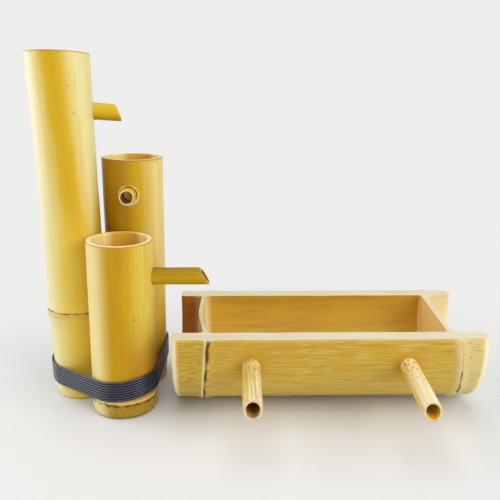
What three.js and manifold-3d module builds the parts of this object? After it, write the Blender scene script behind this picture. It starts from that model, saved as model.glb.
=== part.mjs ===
// Table-top bamboo water cascade.
// Three upright culms, cut to falling heights and lashed together near the floor, each carry a side
// spout that pours into the next vessel. The last one pours into a trough, a thick culm laid on its
// side and opened along the top, which lets the water out through two hollow spouts in its front.
// Millimetres, +Z up, +X from the culms towards the trough. -Y is the side of the two outlets.

import * as THREE from 'three';
import { mergeVertices } from 'three/addons/utils/BufferGeometryUtils.js';
import Module from 'manifold-3d';

const solids = await Module();
solids.setup();

// Fits
const fitGap = 0.3; // clear space between two pieces that touch each other
const overrun = 9; // how far a cutter passes beyond what it cuts

// Counts of facets and steps
const culmFacets = 48;
const troughFacets = 72;
const spoutFacets = 20;
const filletSteps = 3;
const ridgeSteps = 8;
const heightSamples = 80;
const settleRounds = 4;

// The trough. Its two nodes stand aslant, and their ridges are planed flat underneath to carry it.
const trough = {
  length: 262,
  girths: [[0, 61.2]], // even from end to end
  wall: 14.5,
  floorGap: 0.4, // the barrel clears the floor by this, so the flats on the ridges lie level with it
  rimHeight: 75.4,
  footRound: { rise: 3, run: 4 },
  topRound: { rise: 3, run: 4 },
  mouthBevel: 1.2,
  behindShort: 27.2, // its axis lies this far behind the foot of the short culm
  apart: 17.1, // free floor between the short culm and the trough's end
};
const troughNodes = {
  left: { fromEnd: 29, ridgeRise: 1.7, ridgeRun: 9, scarDepth: 0.6, scarRun: 0.9, slantShare: -0.076 },
  right: { fromEnd: 22.5, ridgeRise: 1.7, ridgeRun: 8, scarDepth: 0.6, scarRun: 0.9, slantShare: 0.11 },
};
// Webs of the trough. The dish carries a web's edge along by this much, the slant carries it by a
// share of the place towards +Y.
const troughWebs = {
  left: {
    fromEnd: 19.9, // from the trough's end to the middle of the web
    thickness: 3.2,
    endFillet: 3,
    basinFillet: 4.5,
    dish: 4.7,
    slantShare: -0.065,
  },
  right: {
    fromEnd: 27.8,
    thickness: 3.2,
    endFillet: 9,
    basinFillet: 2.5,
    dish: 0,
    slantShare: 0.025,
  },
};
const webHold = 18; // how far along the trough a web's dish and slant die away

// The two outlet spouts in the trough's front wall
const outlet = { radius: 7.75, wall: 2.75, bevel: 5.8, inset: 1.5 };
const outletHeight = 51.4;
const outletReach = 71.8; // from the wall to the end of the lower lip
const outletPlaces = [
  { name: 'trough_spout_left', alongShare: -0.25, droopDegrees: 0 },
  { name: 'trough_spout_right', alongShare: 0.25, droopDegrees: 2 },
];

// How far each culm's spout lies above the vessel that it pours into, and below its own rim
const shortPour = { drop: 44.1, head: 32.2 };
const middlePour = { drop: 30.9, head: 29.9 };
const tallPour = { drop: 40.4, head: 47.1 };

// The culms. Girths are pairs of height and outer radius, without the nodes. A lean is a share of the
// height, and a cut's slope a share of the distance from the axis, both towards +X and +Y.
const short = {
  girths: [[0, 28.2], [60, 28.1], [152, 27.6]],
  wall: 4.5,
  leanShares: [0.0105, 0.0119],
  cutShares: [-0.0105, -0.0119],
  footRound: { rise: 2.4, run: 4.5 },
};
const middle = {
  girths: [[0, 26.5], [213, 27.1]],
  wall: 4.6,
  leanShares: [0.0099, 0.0111],
  cutShares: [-0.0099, -0.0111],
  footRound: { rise: 2.2, run: 4.5 },
};
const tall = {
  girths: [[0, 25.4], [64, 25.8], [98, 25.4], [190, 25.2], [300, 26.4]],
  wall: 4.5,
  leanShares: [-0.0146, 0.0142],
  cutShares: [-0.012, -0.083],
  footRound: { rise: 2.2, run: 4.5 },
};
short.height = trough.rimHeight + shortPour.drop + shortPour.head;
middle.height = short.height + middlePour.drop + middlePour.head;
tall.height = middle.height + tallPour.drop + tallPour.head;

// Nodes of the culms: a swollen ridge, a fine scar round it, and a web across the hollow inside
const shortNode = { height: 15, ridgeRise: 0.5, ridgeRun: 6, scarDepth: 0.6, scarRun: 0.9, scarAbove: 0 };
const middleNode = { height: 16, ridgeRise: 0.5, ridgeRun: 6, scarDepth: 0.6, scarRun: 0.9, scarAbove: 0 };
const tallNode = { height: 79, ridgeRise: 1.9, ridgeRun: 14, scarDepth: 0.6, scarRun: 0.9, scarAbove: 3.4 };
const web = { thickness: 3, fillet: 3.5 };
const footBevel = 0.6;

// Side spouts of the culms. The overhang is how far a lip reaches past the next vessel's inner face.
const shortSpout = { radius: 7.4, wall: 2.4, bevel: 9, inset: 2, overhang: 5.3, droopDegrees: 0 };
const middleSpout = { radius: 7, wall: 2.1, bevel: 3.5, inset: 2, overhang: 6, droopDegrees: 0 };
const tallSpout = { radius: 7.25, wall: 2.3, bevel: 6.4, inset: 2, overhang: 15.2, droopDegrees: 5 };
const middleAimDegrees = 4; // turned by this from the next culm's axis
const tallAimDegrees = -6.5;

// Way in for the water under the tall culm: a hole through its web and an arch in its foot
const feedRadius = 6;
const footArch = { width: 13, height: 10, bearingDegrees: 115 };

// Grouping of the culms, seen from above
const shortToTallDegrees = 142.9;

// The lashing, one unbroken cord round the three culms
const lashing = {
  cord: 1.8,
  pitch: 2.32,
  turns: 8,
  height: 27.4, // middle of the band at the front of the short culm
  riseShares: [0.085, 0.015], // the band climbs towards +X and +Y
  farRiseShare: 0.16, // and it climbs more on the far side of the tall culm
  tail: 2, // straight end of the cord, square to the culm that it meets
  bend: 1.6, // the bend before the tail begins and ends this far from its corner
};
const cordSides = 6;
const arcSteps = 6;
const spanSteps = 3;
const bendSteps = 3;
const passesPerTurn = 3; // one round each culm

// Finishes
const culmSkin = { color: '#d6b247', roughness: 0.4 };
const troughSkin = { color: '#cbab55', roughness: 0.5 };
const culmSpoutSkin = { color: '#bd9423', roughness: 0.45 };
const outletSkin = { color: '#dfc98c', roughness: 0.55 };
const cordSkin = { color: '#3b3f4e', roughness: 0.35 };

const up = new THREE.Vector3(0, 0, 1);
const radians = THREE.MathUtils.degToRad;
const polar = (distance, bearing) => new THREE.Vector3(distance, 0, 0).applyAxisAngle(up, bearing);
const cutterSpan = 2 * (trough.length + tall.height);

// Solid of a closed three.js geometry, once its shared vertices are merged
function toSolid(geometry) {
  geometry.deleteAttribute('normal');
  geometry.deleteAttribute('uv');
  const merged = mergeVertices(geometry);
  const corners = merged.index.array;
  const kept = [];
  for (let i = 0; i < corners.length; i += 3) {
    const [a, b, c] = [corners[i], corners[i + 1], corners[i + 2]];
    if (a !== b && b !== c && c !== a) kept.push(a, b, c);
  }
  const vertProperties = new Float32Array(merged.attributes.position.array);
  const mesh = new solids.Mesh({ numProp: 3, vertProperties, triVerts: new Uint32Array(kept) });
  return new solids.Manifold(mesh);
}

// Named mesh of a solid, with a material of its own
function makeMesh(name, solid, skin) {
  const shell = solid.getMesh();
  const geometry = new THREE.BufferGeometry();
  const places = new THREE.BufferAttribute(new Float32Array(shell.vertProperties), 3);
  geometry.setAttribute('position', places);
  geometry.setIndex(new THREE.BufferAttribute(new Uint32Array(shell.triVerts), 1));
  const mesh = new THREE.Mesh(geometry, new THREE.MeshStandardMaterial({ ...skin, metalness: 0 }));
  mesh.name = name;
  return mesh;
}

// Shape of revolution about Z, from a profile of [radius, height] pairs that runs upwards and is
// closed to the axis at both ends
function revolve(profile, facets) {
  const bottom = profile[0][1];
  const top = profile[profile.length - 1][1];
  const closed = [[0, bottom], ...profile, [0, top]];
  const outline = closed.map(([radius, height]) => new THREE.Vector2(radius, height));
  return new THREE.LatheGeometry(outline, facets).rotateX(Math.PI / 2);
}

// All that lies beyond a plane, as a solid that is large enough to cut any piece
function beyond(point, normal) {
  const block = new THREE.BoxGeometry(cutterSpan, cutterSpan, cutterSpan);
  block.translate(0, 0, cutterSpan / 2);
  block.applyQuaternion(new THREE.Quaternion().setFromUnitVectors(up, normal.clone().normalize()));
  block.translate(point.x, point.y, point.z);
  return toSolid(block);
}

// What a quarter ellipse takes off a radius at a distance from its end: rise deep, run long
function rounding(distance, ellipse) {
  if (!ellipse || distance >= ellipse.run) return 0;
  const share = 1 - Math.max(distance, 0) / ellipse.run;
  return ellipse.rise * (1 - Math.sqrt(1 - share * share));
}

// Radius of a culm without its nodes, between the places where it is known
function taper(culm, along) {
  const above = culm.girths.findIndex(([place]) => place > along);
  if (above === 0) return culm.girths[0][1];
  if (above < 0) return culm.girths[culm.girths.length - 1][1];
  const [[low, lowRadius], [high, highRadius]] = culm.girths.slice(above - 1, above + 1);
  return lowRadius + (highRadius - lowRadius) * ((along - low) / (high - low));
}

// Outer radius of a culm at a place along its axis: taper, ridges, scars and rounded ends
function girth(culm, along) {
  const length = culm.length ?? culm.height;
  let radius = taper(culm, along);
  for (const node of culm.nodes) {
    const off = Math.abs(along - node.at) / node.ridgeRun;
    if (off < 1) radius += node.ridgeRise * Math.cos((Math.PI / 2) * off) ** 2;
    const scarOff = Math.abs(along - node.scarAt) / node.scarRun;
    if (scarOff < 1) radius -= node.scarDepth * (1 - scarOff);
  }
  return radius - rounding(along, culm.footRound) - rounding(length - along, culm.topRound);
}

// Uncut culm along Z, filled inside, from its foot to a top that may stand spare of its length. A
// slanting node shifts along the axis in proportion to X, and comes back to nothing at its end.
function culmBlank(culm, facets, spare) {
  const length = culm.length ?? culm.height;
  const stops = new Set([0, length, length + spare, ...culm.girths.map(([place]) => place)]);
  for (let step = 1; step <= filletSteps; step += 1) {
    const share = (step / filletSteps) ** 2;
    stops.add(culm.footRound.run * share);
    if (culm.topRound) stops.add(length - culm.topRound.run * share);
  }
  for (const node of culm.nodes) {
    for (let step = 0; step <= ridgeSteps; step += 1) {
      stops.add(node.at + node.ridgeRun * (2 * (step / ridgeSteps) - 1));
    }
    for (const side of [-1, 0, 1]) stops.add(node.scarAt + side * node.scarRun);
  }
  const inside = [...stops].filter((stop) => stop >= 0 && stop <= length + spare);
  const profile = inside.sort((a, b) => a - b).map((along) => [girth(culm, along), along]);
  const blank = revolve(profile, facets);
  const places = blank.attributes.position;
  for (const node of culm.nodes.filter((each) => each.slantShare)) {
    for (let i = 0; i < places.count; i += 1) {
      const off = (places.getZ(i) - node.at) / node.fromEnd;
      const hold = Math.max(0, 1 - off * off) ** 2;
      places.setZ(i, places.getZ(i) + node.slantShare * places.getX(i) * hold);
    }
  }
  return blank;
}

// Hollow of a culm between two ends. A closed end has a fillet, an open end a bevel, and runs on.
function hollow(culm, bottom, top, facets) {
  const ends = [{ ...bottom, inward: 1 }, { ...top, inward: -1 }];
  const within = ([place]) => place > bottom.at && place < top.at;
  const stops = new Set(culm.girths.filter(within).map(([place]) => place));
  for (const { at, inward, fillet, bevel } of ends) {
    if (fillet) {
      for (let step = 0; step <= filletSteps; step += 1) {
        stops.add(at + inward * fillet * (step / filletSteps) ** 2);
      }
    } else {
      for (const depth of [bevel, 0, -overrun]) stops.add(at + inward * depth);
    }
  }
  const profile = [...stops].sort((a, b) => a - b).map((along) => {
    let radius = taper(culm, along) - culm.wall;
    for (const { at, inward, fillet, bevel } of ends) {
      const depth = inward * (along - at);
      if (fillet) radius -= rounding(depth, { rise: fillet, run: fillet });
      else radius += Math.max(0, bevel - Math.max(0, depth));
    }
    return [radius, along];
  });
  return revolve(profile, facets);
}

// Round bar along X
function rod(radius, from, to) {
  const bar = new THREE.CylinderGeometry(radius, radius, to - from, spoutFacets);
  return bar.rotateZ(Math.PI / 2).translate((from + to) / 2, 0, 0);
}

// Named mesh of a spout along its own +X. It meets the host's outer face at x = 0, ends inside the
// host, and its lower lip reaches furthest.
function makeSpout(name, spout, hostWall, reach, skin) {
  const inner = -(hostWall + spout.inset);
  const lip = new THREE.Vector3(reach, 0, -spout.radius);
  const tube = toSolid(rod(spout.radius, inner, reach + overrun))
    .subtract(toSolid(rod(spout.radius - spout.wall, inner - overrun, reach + 2 * overrun)))
    .subtract(beyond(lip, new THREE.Vector3(2 * spout.radius, 0, spout.bevel)));
  return makeMesh(name, tube, skin);
}

// Puts a spout on its host: at a point of the outer face, out along a bearing, and drooping
function seatSpout(mesh, point, bearing, droop) {
  mesh.position.copy(point);
  mesh.rotation.set(0, droop, bearing, 'ZYX');
  mesh.updateMatrix();
}

// The hole that a seated spout needs in its host's wall
function drilling(mesh, spout, hostWall) {
  const reach = hostWall + spout.inset + overrun;
  return toSolid(rod(spout.radius + fitGap, -reach, overrun).applyMatrix4(mesh.matrix));
}

// Axis of a leaning culm at a height above the floor
function axisAt(culm, height) {
  const [leanX, leanY] = culm.leanShares;
  return new THREE.Vector3(culm.foot.x + leanX * height, culm.foot.y + leanY * height, height);
}

// Least distance between the feet of two culms that keeps them a fit gap apart at every height
function standOff(a, b, bearing) {
  const shared = Math.min(a.height, b.height);
  const towards = polar(1, bearing);
  const [spreadX, spreadY] = [b.leanShares[0] - a.leanShares[0], b.leanShares[1] - a.leanShares[1]];
  const spread = towards.x * spreadX + towards.y * spreadY;
  let least = 0;
  for (let sample = 0; sample <= heightSamples; sample += 1) {
    const height = (shared * sample) / heightSamples;
    least = Math.max(least, girth(a, height) + girth(b, height) + fitGap - spread * height);
  }
  return least;
}

// Nodes, each with the places of its ridge and scar along its culm
for (const [culm, node] of [[short, shortNode], [middle, middleNode], [tall, tallNode]]) {
  culm.nodes = [{ ...node, at: node.height, scarAt: node.height + node.scarAbove }];
}
trough.nodes = Object.entries(troughNodes).map(([end, node]) => {
  const at = end === 'left' ? node.fromEnd : trough.length - node.fromEnd;
  return { ...node, at, scarAt: at };
});

// The short culm stands at the origin of the layout. The tall one touches it on a set bearing, and
// the middle one touches both, which takes a few rounds because the leans change the distances.
const shortToTall = radians(shortToTallDegrees);
short.foot = new THREE.Vector3();
tall.foot = polar(standOff(short, tall, shortToTall), shortToTall);
middle.foot = polar(tall.foot.length(), shortToTall - Math.PI / 3);
for (let round = 0; round < settleRounds; round += 1) {
  const fromTall = middle.foot.clone().sub(tall.foot);
  const sideTall = tall.foot.length();
  const sideMiddle = standOff(short, middle, Math.atan2(middle.foot.y, middle.foot.x));
  const farSide = standOff(tall, middle, Math.atan2(fromTall.y, fromTall.x));
  const cosine = (sideTall ** 2 + sideMiddle ** 2 - farSide ** 2) / (2 * sideTall * sideMiddle);
  middle.foot = polar(sideMiddle, shortToTall - Math.acos(cosine));
}
const troughCentre = new THREE.Vector3(
  taper(short, 0) + trough.apart + trough.length / 2,
  trough.behindShort,
  taper(trough, 0) + trough.floorGap,
);

// Seat of a culm's spout. It points at the next vessel, turned a little, and its lip ends past the
// near inner face of that vessel, which lies at a given distance from this culm's axis.
function spoutSeat(culm, spout, height, bearing, nearFace) {
  const radius = taper(culm, height);
  const point = polar(radius, bearing).add(axisAt(culm, height)).sub(culm.foot);
  return { point, bearing, droop: radians(spout.droopDegrees), reach: nearFace + spout.overhang - radius };
}

// Bearing and distance from one culm's axis to another's, at the rim of the second
function sight(from, to) {
  const line = axisAt(to, to.height).sub(axisAt(from, to.height));
  return { bearing: Math.atan2(line.y, line.x), nearFace: line.length() - taper(to, to.height) + to.wall };
}

// An upright culm and its spout, in a group that stands at the culm's foot. The culm leans as a
// sheared column, so that its foot stays level. It is cut at the top, hollow above and below the web
// at its node, and drilled for its spout.
function buildCulm(names, culm, spout, seat, extraCuts) {
  const [leanX, leanY] = culm.leanShares;
  const lean = new THREE.Matrix4().set(1, 0, leanX, 0, 0, 1, leanY, 0, 0, 0, 1, 0, 0, 0, 0, 1);
  const [slopeX, slopeY] = culm.cutShares;
  const spare = taper(culm, culm.height) * Math.hypot(slopeX, slopeY);
  const node = culm.nodes[0];
  const webTop = { at: node.at + web.thickness / 2, fillet: web.fillet };
  const webBottom = { at: node.at - web.thickness / 2, fillet: web.fillet };

  const spoutMesh = makeSpout(names.spout, spout, culm.wall, seat.reach, culmSpoutSkin);
  seatSpout(spoutMesh, seat.point, seat.bearing, seat.droop);

  const upperHollow = hollow(culm, webTop, { at: culm.height + spare, bevel: 0 }, culmFacets);
  const lowerHollow = hollow(culm, { at: 0, bevel: footBevel }, webBottom, culmFacets);
  const topCentre = axisAt(culm, culm.height).sub(culm.foot);
  const column = toSolid(culmBlank(culm, culmFacets, spare).applyMatrix4(lean))
    .subtract(toSolid(upperHollow.applyMatrix4(lean)))
    .subtract(toSolid(lowerHollow.applyMatrix4(lean)))
    .subtract(beyond(topCentre, new THREE.Vector3(-slopeX, -slopeY, 1)))
    .subtract(drilling(spoutMesh, spout, culm.wall));
  const finished = extraCuts.reduce((solid, cutter) => solid.subtract(cutter), column);

  const group = new THREE.Group();
  group.position.copy(culm.foot);
  group.add(makeMesh(names.culm, finished, culmSkin), spoutMesh);
  return group;
}

// Arch through the foot's wall, standing on the floor and facing out along a bearing
function archCutter(culm, arch) {
  const half = arch.width / 2;
  const outline = new THREE.Shape();
  outline.moveTo(half, -overrun);
  outline.lineTo(half, arch.height - half);
  outline.absarc(0, arch.height - half, half, 0, Math.PI);
  outline.lineTo(-half, -overrun);
  outline.closePath();
  const depth = culm.wall + 2 * overrun;
  const options = { depth, bevelEnabled: false, curveSegments: ridgeSteps };
  const arched = new THREE.ExtrudeGeometry(outline, options);
  arched.rotateX(Math.PI / 2).rotateZ(Math.PI / 2);
  arched.translate(taper(culm, 0) - culm.wall - overrun, 0, 0);
  return toSolid(arched.rotateZ(radians(arch.bearingDegrees)));
}

// Hole for the feed through the web, upright in the middle of the culm
function feedCutter(culm) {
  const { at } = culm.nodes[0];
  const centre = axisAt(culm, at).sub(culm.foot);
  const span = web.thickness / 2 + overrun;
  return toSolid(rod(feedRadius, -span, span).rotateY(Math.PI / 2).translate(centre.x, centre.y, centre.z));
}

// How far a web's dish and slant carry a place along the trough, across and above the trough's axis
function webShift(wall, across, above) {
  const hollowRadius = taper(trough, wall.fromEnd) - trough.wall;
  return wall.slantShare * across + (wall.dish * Math.hypot(across, above)) / hollowRadius;
}

// Gives the end of a hollow along Z the dish and slant of the web that closes it
function bow(shape, wall, at) {
  const places = shape.attributes.position;
  for (let i = 0; i < places.count; i += 1) {
    const off = (places.getZ(i) - at) / webHold;
    const kept = Math.max(0, 1 - off * off) ** 2;
    const shift = webShift(wall, places.getY(i), places.getX(i));
    places.setZ(i, places.getZ(i) + kept * shift);
  }
  return shape;
}

// The trough: a blank laid along X, hollowed between and outside its webs, opened along the top,
// planed under its ridges, and drilled for its outlets
function buildTrough() {
  const { left, right } = troughWebs;
  const leftAt = left.fromEnd;
  const rightAt = trough.length - right.fromEnd;
  const rooms = [
    [
      { at: 0, bevel: trough.mouthBevel },
      { at: leftAt - left.thickness / 2, fillet: left.endFillet },
    ],
    [
      { at: leftAt + left.thickness / 2, fillet: left.basinFillet },
      { at: rightAt - right.thickness / 2, fillet: right.basinFillet },
    ],
    [
      { at: rightAt + right.thickness / 2, fillet: right.endFillet },
      { at: trough.length, bevel: trough.mouthBevel },
    ],
  ];
  const lay = (shape) => toSolid(shape.rotateY(Math.PI / 2).translate(-trough.length / 2, 0, 0));
  let solid = lay(culmBlank(trough, troughFacets, 0));
  for (const [start, end] of rooms) {
    const room = hollow(trough, start, end, troughFacets);
    solid = solid.subtract(lay(bow(bow(room, left, leftAt), right, rightAt)));
  }
  const rim = new THREE.Vector3(0, 0, trough.rimHeight - troughCentre.z);
  const floor = new THREE.Vector3(0, 0, -troughCentre.z);
  solid = solid.subtract(beyond(rim, up)).subtract(beyond(floor, up.clone().negate()));

  const group = new THREE.Group();
  group.position.copy(troughCentre);
  const height = outletHeight - troughCentre.z;
  const depth = Math.sqrt(taper(trough, 0) ** 2 - height ** 2);
  for (const { name, alongShare, droopDegrees } of outletPlaces) {
    const mesh = makeSpout(name, outlet, trough.wall, outletReach, outletSkin);
    const point = new THREE.Vector3(alongShare * trough.length, -depth, height);
    seatSpout(mesh, point, -Math.PI / 2, radians(droopDegrees));
    solid = solid.subtract(drilling(mesh, outlet, trough.wall));
    group.add(mesh);
  }
  group.add(makeMesh('trough', solid, troughSkin));
  return group;
}

// Height of the lashing at a place, after a number of turns counted from the middle of the band
function bandHeight(place, turns) {
  const [riseX, riseY] = lashing.riseShares;
  const along = place.x * Math.cos(shortToTall) + place.y * Math.sin(shortToTall);
  const beyondTall = Math.max(0, along - tall.foot.length());
  const climb = riseX * place.x + riseY * place.y + lashing.farRiseShare * beyondTall;
  return lashing.height + lashing.pitch * turns + climb;
}

// Circle that the middle of the cord follows round a culm, at the band's height there
function wrap(culm, turns) {
  const height = bandHeight(axisAt(culm, lashing.height), turns);
  const centre = axisAt(culm, height).setZ(0);
  return { centre, radius: girth(culm, height) + fitGap + lashing.cord / 2 };
}

// Straight run of the tight cord from one wrap to the next, on the outer side of both
function straightRun(from, to) {
  const line = to.centre.clone().sub(from.centre);
  const turn = Math.asin((from.radius - to.radius) / line.length());
  const outward = Math.atan2(line.y, line.x) - Math.PI / 2 + turn;
  const leave = polar(from.radius, outward).add(from.centre);
  const meet = polar(to.radius, outward).add(to.centre);
  return { outward, leave, meet, onward: meet.clone().sub(leave).normalize() };
}

// End of the cord, listed from its tip: a fit gap off the culm and square to it, then a straight
// tail, then a bend into the straight run that leaves the culm's wrap at a tangent
function tailPlaces({ centre, radius }, tangent, onward) {
  const tipRadius = radius - lashing.cord / 2;
  const cornerRadius = tipRadius + lashing.tail + lashing.bend;
  const along = Math.sqrt(cornerRadius ** 2 - radius ** 2);
  const corner = tangent.clone().addScaledVector(onward, along);
  const outward = corner.clone().sub(centre).normalize();
  const tip = centre.clone().addScaledVector(outward, tipRadius);
  const bendStart = tip.clone().addScaledVector(outward, lashing.tail);
  const bendEnd = corner.clone().addScaledVector(onward, lashing.bend);
  return [tip, ...new THREE.QuadraticBezierCurve3(bendStart, corner, bendEnd).getPoints(bendSteps)];
}

// Places along the middle of the cord. Seen from above it runs counter-clockwise: in from a tail at
// the back of the middle culm, round the tall, the short and the middle culm in each turn, and out to
// a tail at the back of the tall culm. It climbs in proportion to its length.
function lashingPlaces() {
  const order = [tall, short, middle];
  const passes = passesPerTurn * lashing.turns;
  const wraps = [];
  for (let pass = -1; pass <= passes; pass += 1) {
    const culm = order[(pass + passesPerTurn) % passesPerTurn];
    wraps.push(wrap(culm, pass / passesPerTurn - lashing.turns / 2));
  }
  const runs = wraps.slice(1).map((next, index) => straightRun(wraps[index], next));
  const first = runs[0];
  const last = runs[passes];

  const places = tailPlaces(wraps[0], first.leave, first.onward);
  for (let pass = 1; pass <= passes; pass += 1) {
    const { centre, radius } = wraps[pass];
    const start = runs[pass - 1].outward;
    const sweep = THREE.MathUtils.euclideanModulo(runs[pass].outward - start, 2 * Math.PI);
    const step = sweep / arcSteps;
    for (let i = 0; i < arcSteps; i += 1) {
      places.push(polar(radius / Math.cos(step / 2), start + (i + 0.5) * step).add(centre));
    }
    if (pass === passes) break;
    for (let i = 1; i < spanSteps; i += 1) {
      places.push(runs[pass].leave.clone().lerp(runs[pass].meet, i / spanSteps));
    }
  }
  places.push(...tailPlaces(wraps[passes + 1], last.meet, last.onward.clone().negate()).reverse());

  const lengths = [0];
  for (let i = 1; i < places.length; i += 1) {
    lengths.push(lengths[i - 1] + places[i].distanceTo(places[i - 1]));
  }
  const whole = lengths[lengths.length - 1];
  return places.map((place, i) => {
    const turns = lashing.turns * (lengths[i] / whole - 0.5);
    return place.clone().setZ(bandHeight(place, turns));
  });
}

// Least clear space between the cord and itself, half a turn or more further on
function leastSelfGap(places) {
  const apart = Math.floor((passesPerTurn * (arcSteps + spanSteps - 1)) / 2);
  const piece = new THREE.Line3();
  const nearest = new THREE.Vector3();
  let least = Infinity;
  for (let i = 0; i < places.length; i += 1) {
    for (let j = i + apart; j + 1 < places.length; j += 1) {
      piece.set(places[j], places[j + 1]).closestPointToPoint(places[i], true, nearest);
      least = Math.min(least, nearest.distanceTo(places[i]) - lashing.cord);
    }
  }
  return least;
}

// Closed round tube along places, with flat ends
function tube(places, radius, sides) {
  const points = [];
  const corners = [];
  for (const [k, place] of places.entries()) {
    const before = places[Math.max(k - 1, 0)];
    const after = places[Math.min(k + 1, places.length - 1)];
    const back = place.clone().sub(before).normalize();
    const along = after.clone().sub(place).normalize().add(back).normalize();
    const outward = along.clone().cross(up).normalize();
    const upward = outward.clone().cross(along);
    for (let i = 0; i < sides; i += 1) {
      const angle = (2 * Math.PI * i) / sides;
      const point = place.clone().addScaledVector(outward, radius * Math.cos(angle));
      points.push(point.addScaledVector(upward, radius * Math.sin(angle)));
    }
  }
  const ring = (k, i) => k * sides + (i % sides);
  for (let k = 0; k + 1 < places.length; k += 1) {
    for (let i = 0; i < sides; i += 1) {
      corners.push(ring(k, i), ring(k + 1, i), ring(k, i + 1));
      corners.push(ring(k, i + 1), ring(k + 1, i), ring(k + 1, i + 1));
    }
  }
  const end = places.length - 1;
  for (let i = 1; i + 1 < sides; i += 1) {
    corners.push(ring(0, 0), ring(0, i), ring(0, i + 1));
    corners.push(ring(end, 0), ring(end, i + 1), ring(end, i));
  }
  return new THREE.BufferGeometry().setFromPoints(points).setIndex(corners);
}

const shortHeight = trough.rimHeight + shortPour.drop;
const leftWeb = troughWebs.left;
const webAtSpout = webShift(leftWeb, -trough.behindShort, trough.rimHeight - troughCentre.z);
const leftWebFace = leftWeb.fromEnd + leftWeb.thickness / 2 + webAtSpout;
const troughStart = troughCentre.x - trough.length / 2;
const shortNear = troughStart + leftWebFace - axisAt(short, shortHeight).x;
const middleSight = sight(middle, short);
const tallSight = sight(tall, middle);

const shortSeat = spoutSeat(short, shortSpout, shortHeight, 0, shortNear);
const middleSeat = spoutSeat(
  middle,
  middleSpout,
  short.height + middlePour.drop,
  middleSight.bearing + radians(middleAimDegrees),
  middleSight.nearFace,
);
const tallSeat = spoutSeat(
  tall,
  tallSpout,
  middle.height + tallPour.drop,
  tallSight.bearing + radians(tallAimDegrees),
  tallSight.nearFace,
);

const cordPlaces = lashingPlaces();
const selfGap = leastSelfGap(cordPlaces);
console.log(`lashing: ${cordPlaces.length} places, least gap to itself ${selfGap.toFixed(3)} mm`);
const cordSolid = toSolid(tube(cordPlaces, lashing.cord / 2, cordSides));

const feedCuts = [feedCutter(tall), archCutter(tall, footArch)];
const cascade = new THREE.Group();
cascade.name = 'bamboo_cascade';
cascade.add(
  buildCulm({ culm: 'tall_culm', spout: 'tall_spout' }, tall, tallSpout, tallSeat, feedCuts),
  buildCulm({ culm: 'middle_culm', spout: 'middle_spout' }, middle, middleSpout, middleSeat, []),
  buildCulm({ culm: 'short_culm', spout: 'short_spout' }, short, shortSpout, shortSeat, []),
  makeMesh('lashing_cord', cordSolid, cordSkin),
  buildTrough(),
);

// The whole set stands with the middle of its footprint at the origin, on the floor
const extent = new THREE.Box3().setFromObject(cascade, true);
const middleOfExtent = extent.getCenter(new THREE.Vector3());
cascade.position.set(-middleOfExtent.x, -middleOfExtent.y, -extent.min.z);

export default cascade;
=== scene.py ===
"""Looks of a table-top bamboo water cascade: three lashed culms with spouts, and a trough with outlets.

Every bamboo piece is a stalk. Its surfaces are worked out in millimetres in the stalk's own frame, with
the fibres along Z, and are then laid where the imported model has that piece. The own-frame place stays on
the mesh as an attribute, so that fibres, scars and cut ends follow the stalk and not the room.
"""

import logging
import math
from dataclasses import dataclass, field
from enum import IntEnum
from typing import Any, Callable

import bmesh
import bpy
import numpy as np
from mathutils import Matrix, Vector

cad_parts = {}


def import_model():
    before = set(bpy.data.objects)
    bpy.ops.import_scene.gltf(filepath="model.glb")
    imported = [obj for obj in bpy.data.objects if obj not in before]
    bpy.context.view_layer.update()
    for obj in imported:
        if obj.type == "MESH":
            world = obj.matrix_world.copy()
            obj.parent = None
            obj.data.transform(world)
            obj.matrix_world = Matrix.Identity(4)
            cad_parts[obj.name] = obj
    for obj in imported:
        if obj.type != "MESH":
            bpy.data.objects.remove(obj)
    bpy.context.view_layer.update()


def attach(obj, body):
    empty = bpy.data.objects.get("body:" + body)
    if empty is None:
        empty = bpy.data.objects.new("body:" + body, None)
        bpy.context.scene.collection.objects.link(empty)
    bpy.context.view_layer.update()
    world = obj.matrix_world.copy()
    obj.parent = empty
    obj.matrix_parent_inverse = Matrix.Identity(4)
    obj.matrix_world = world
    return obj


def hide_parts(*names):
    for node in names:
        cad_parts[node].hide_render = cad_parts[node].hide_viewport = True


Array = np.ndarray
Marks = dict[str, Callable[[Array], Array]]

MM = 0.001
FIT_GAP = 0.3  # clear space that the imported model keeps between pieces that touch
CORD_NEARER = 0.12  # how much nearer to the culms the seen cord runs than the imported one
WEB_HOLD = 18.0  # distance from a web over which its dish and slant die away
CUT_HOLD = 45.0  # distance below a rim over which the slope of its cut dies away
SKIN_WAVE = 0.17  # half of the most that unevenness takes off a skin
SCAR_WANDER = 0.45  # how far a scar strays from its own middle line
SCAR_GROOVE = 0.7  # half width of the groove of a scar
SHARP_DEGREES = 38.0

log = logging.getLogger("cascade")


class Side(IntEnum):
    """Which surface of a stalk a face belongs to, and so its material slot."""

    SKIN = 0
    SAWN = 1
    BORE = 2


# Numbers and unevenness


def ease(value: Array, low: float, high: float) -> Array:
    """Return 0 at low and below, 1 at high and above, and a smooth S between them."""
    share = np.clip((np.asarray(value, float) - low) / (high - low), 0.0, 1.0)
    return share * share * (3.0 - 2.0 * share)


def circle(points: int) -> Array:
    """Return evenly spaced angles round a circle, as one row."""
    return np.linspace(0.0, 2.0 * np.pi, points, endpoint=False)[None, :]


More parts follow.
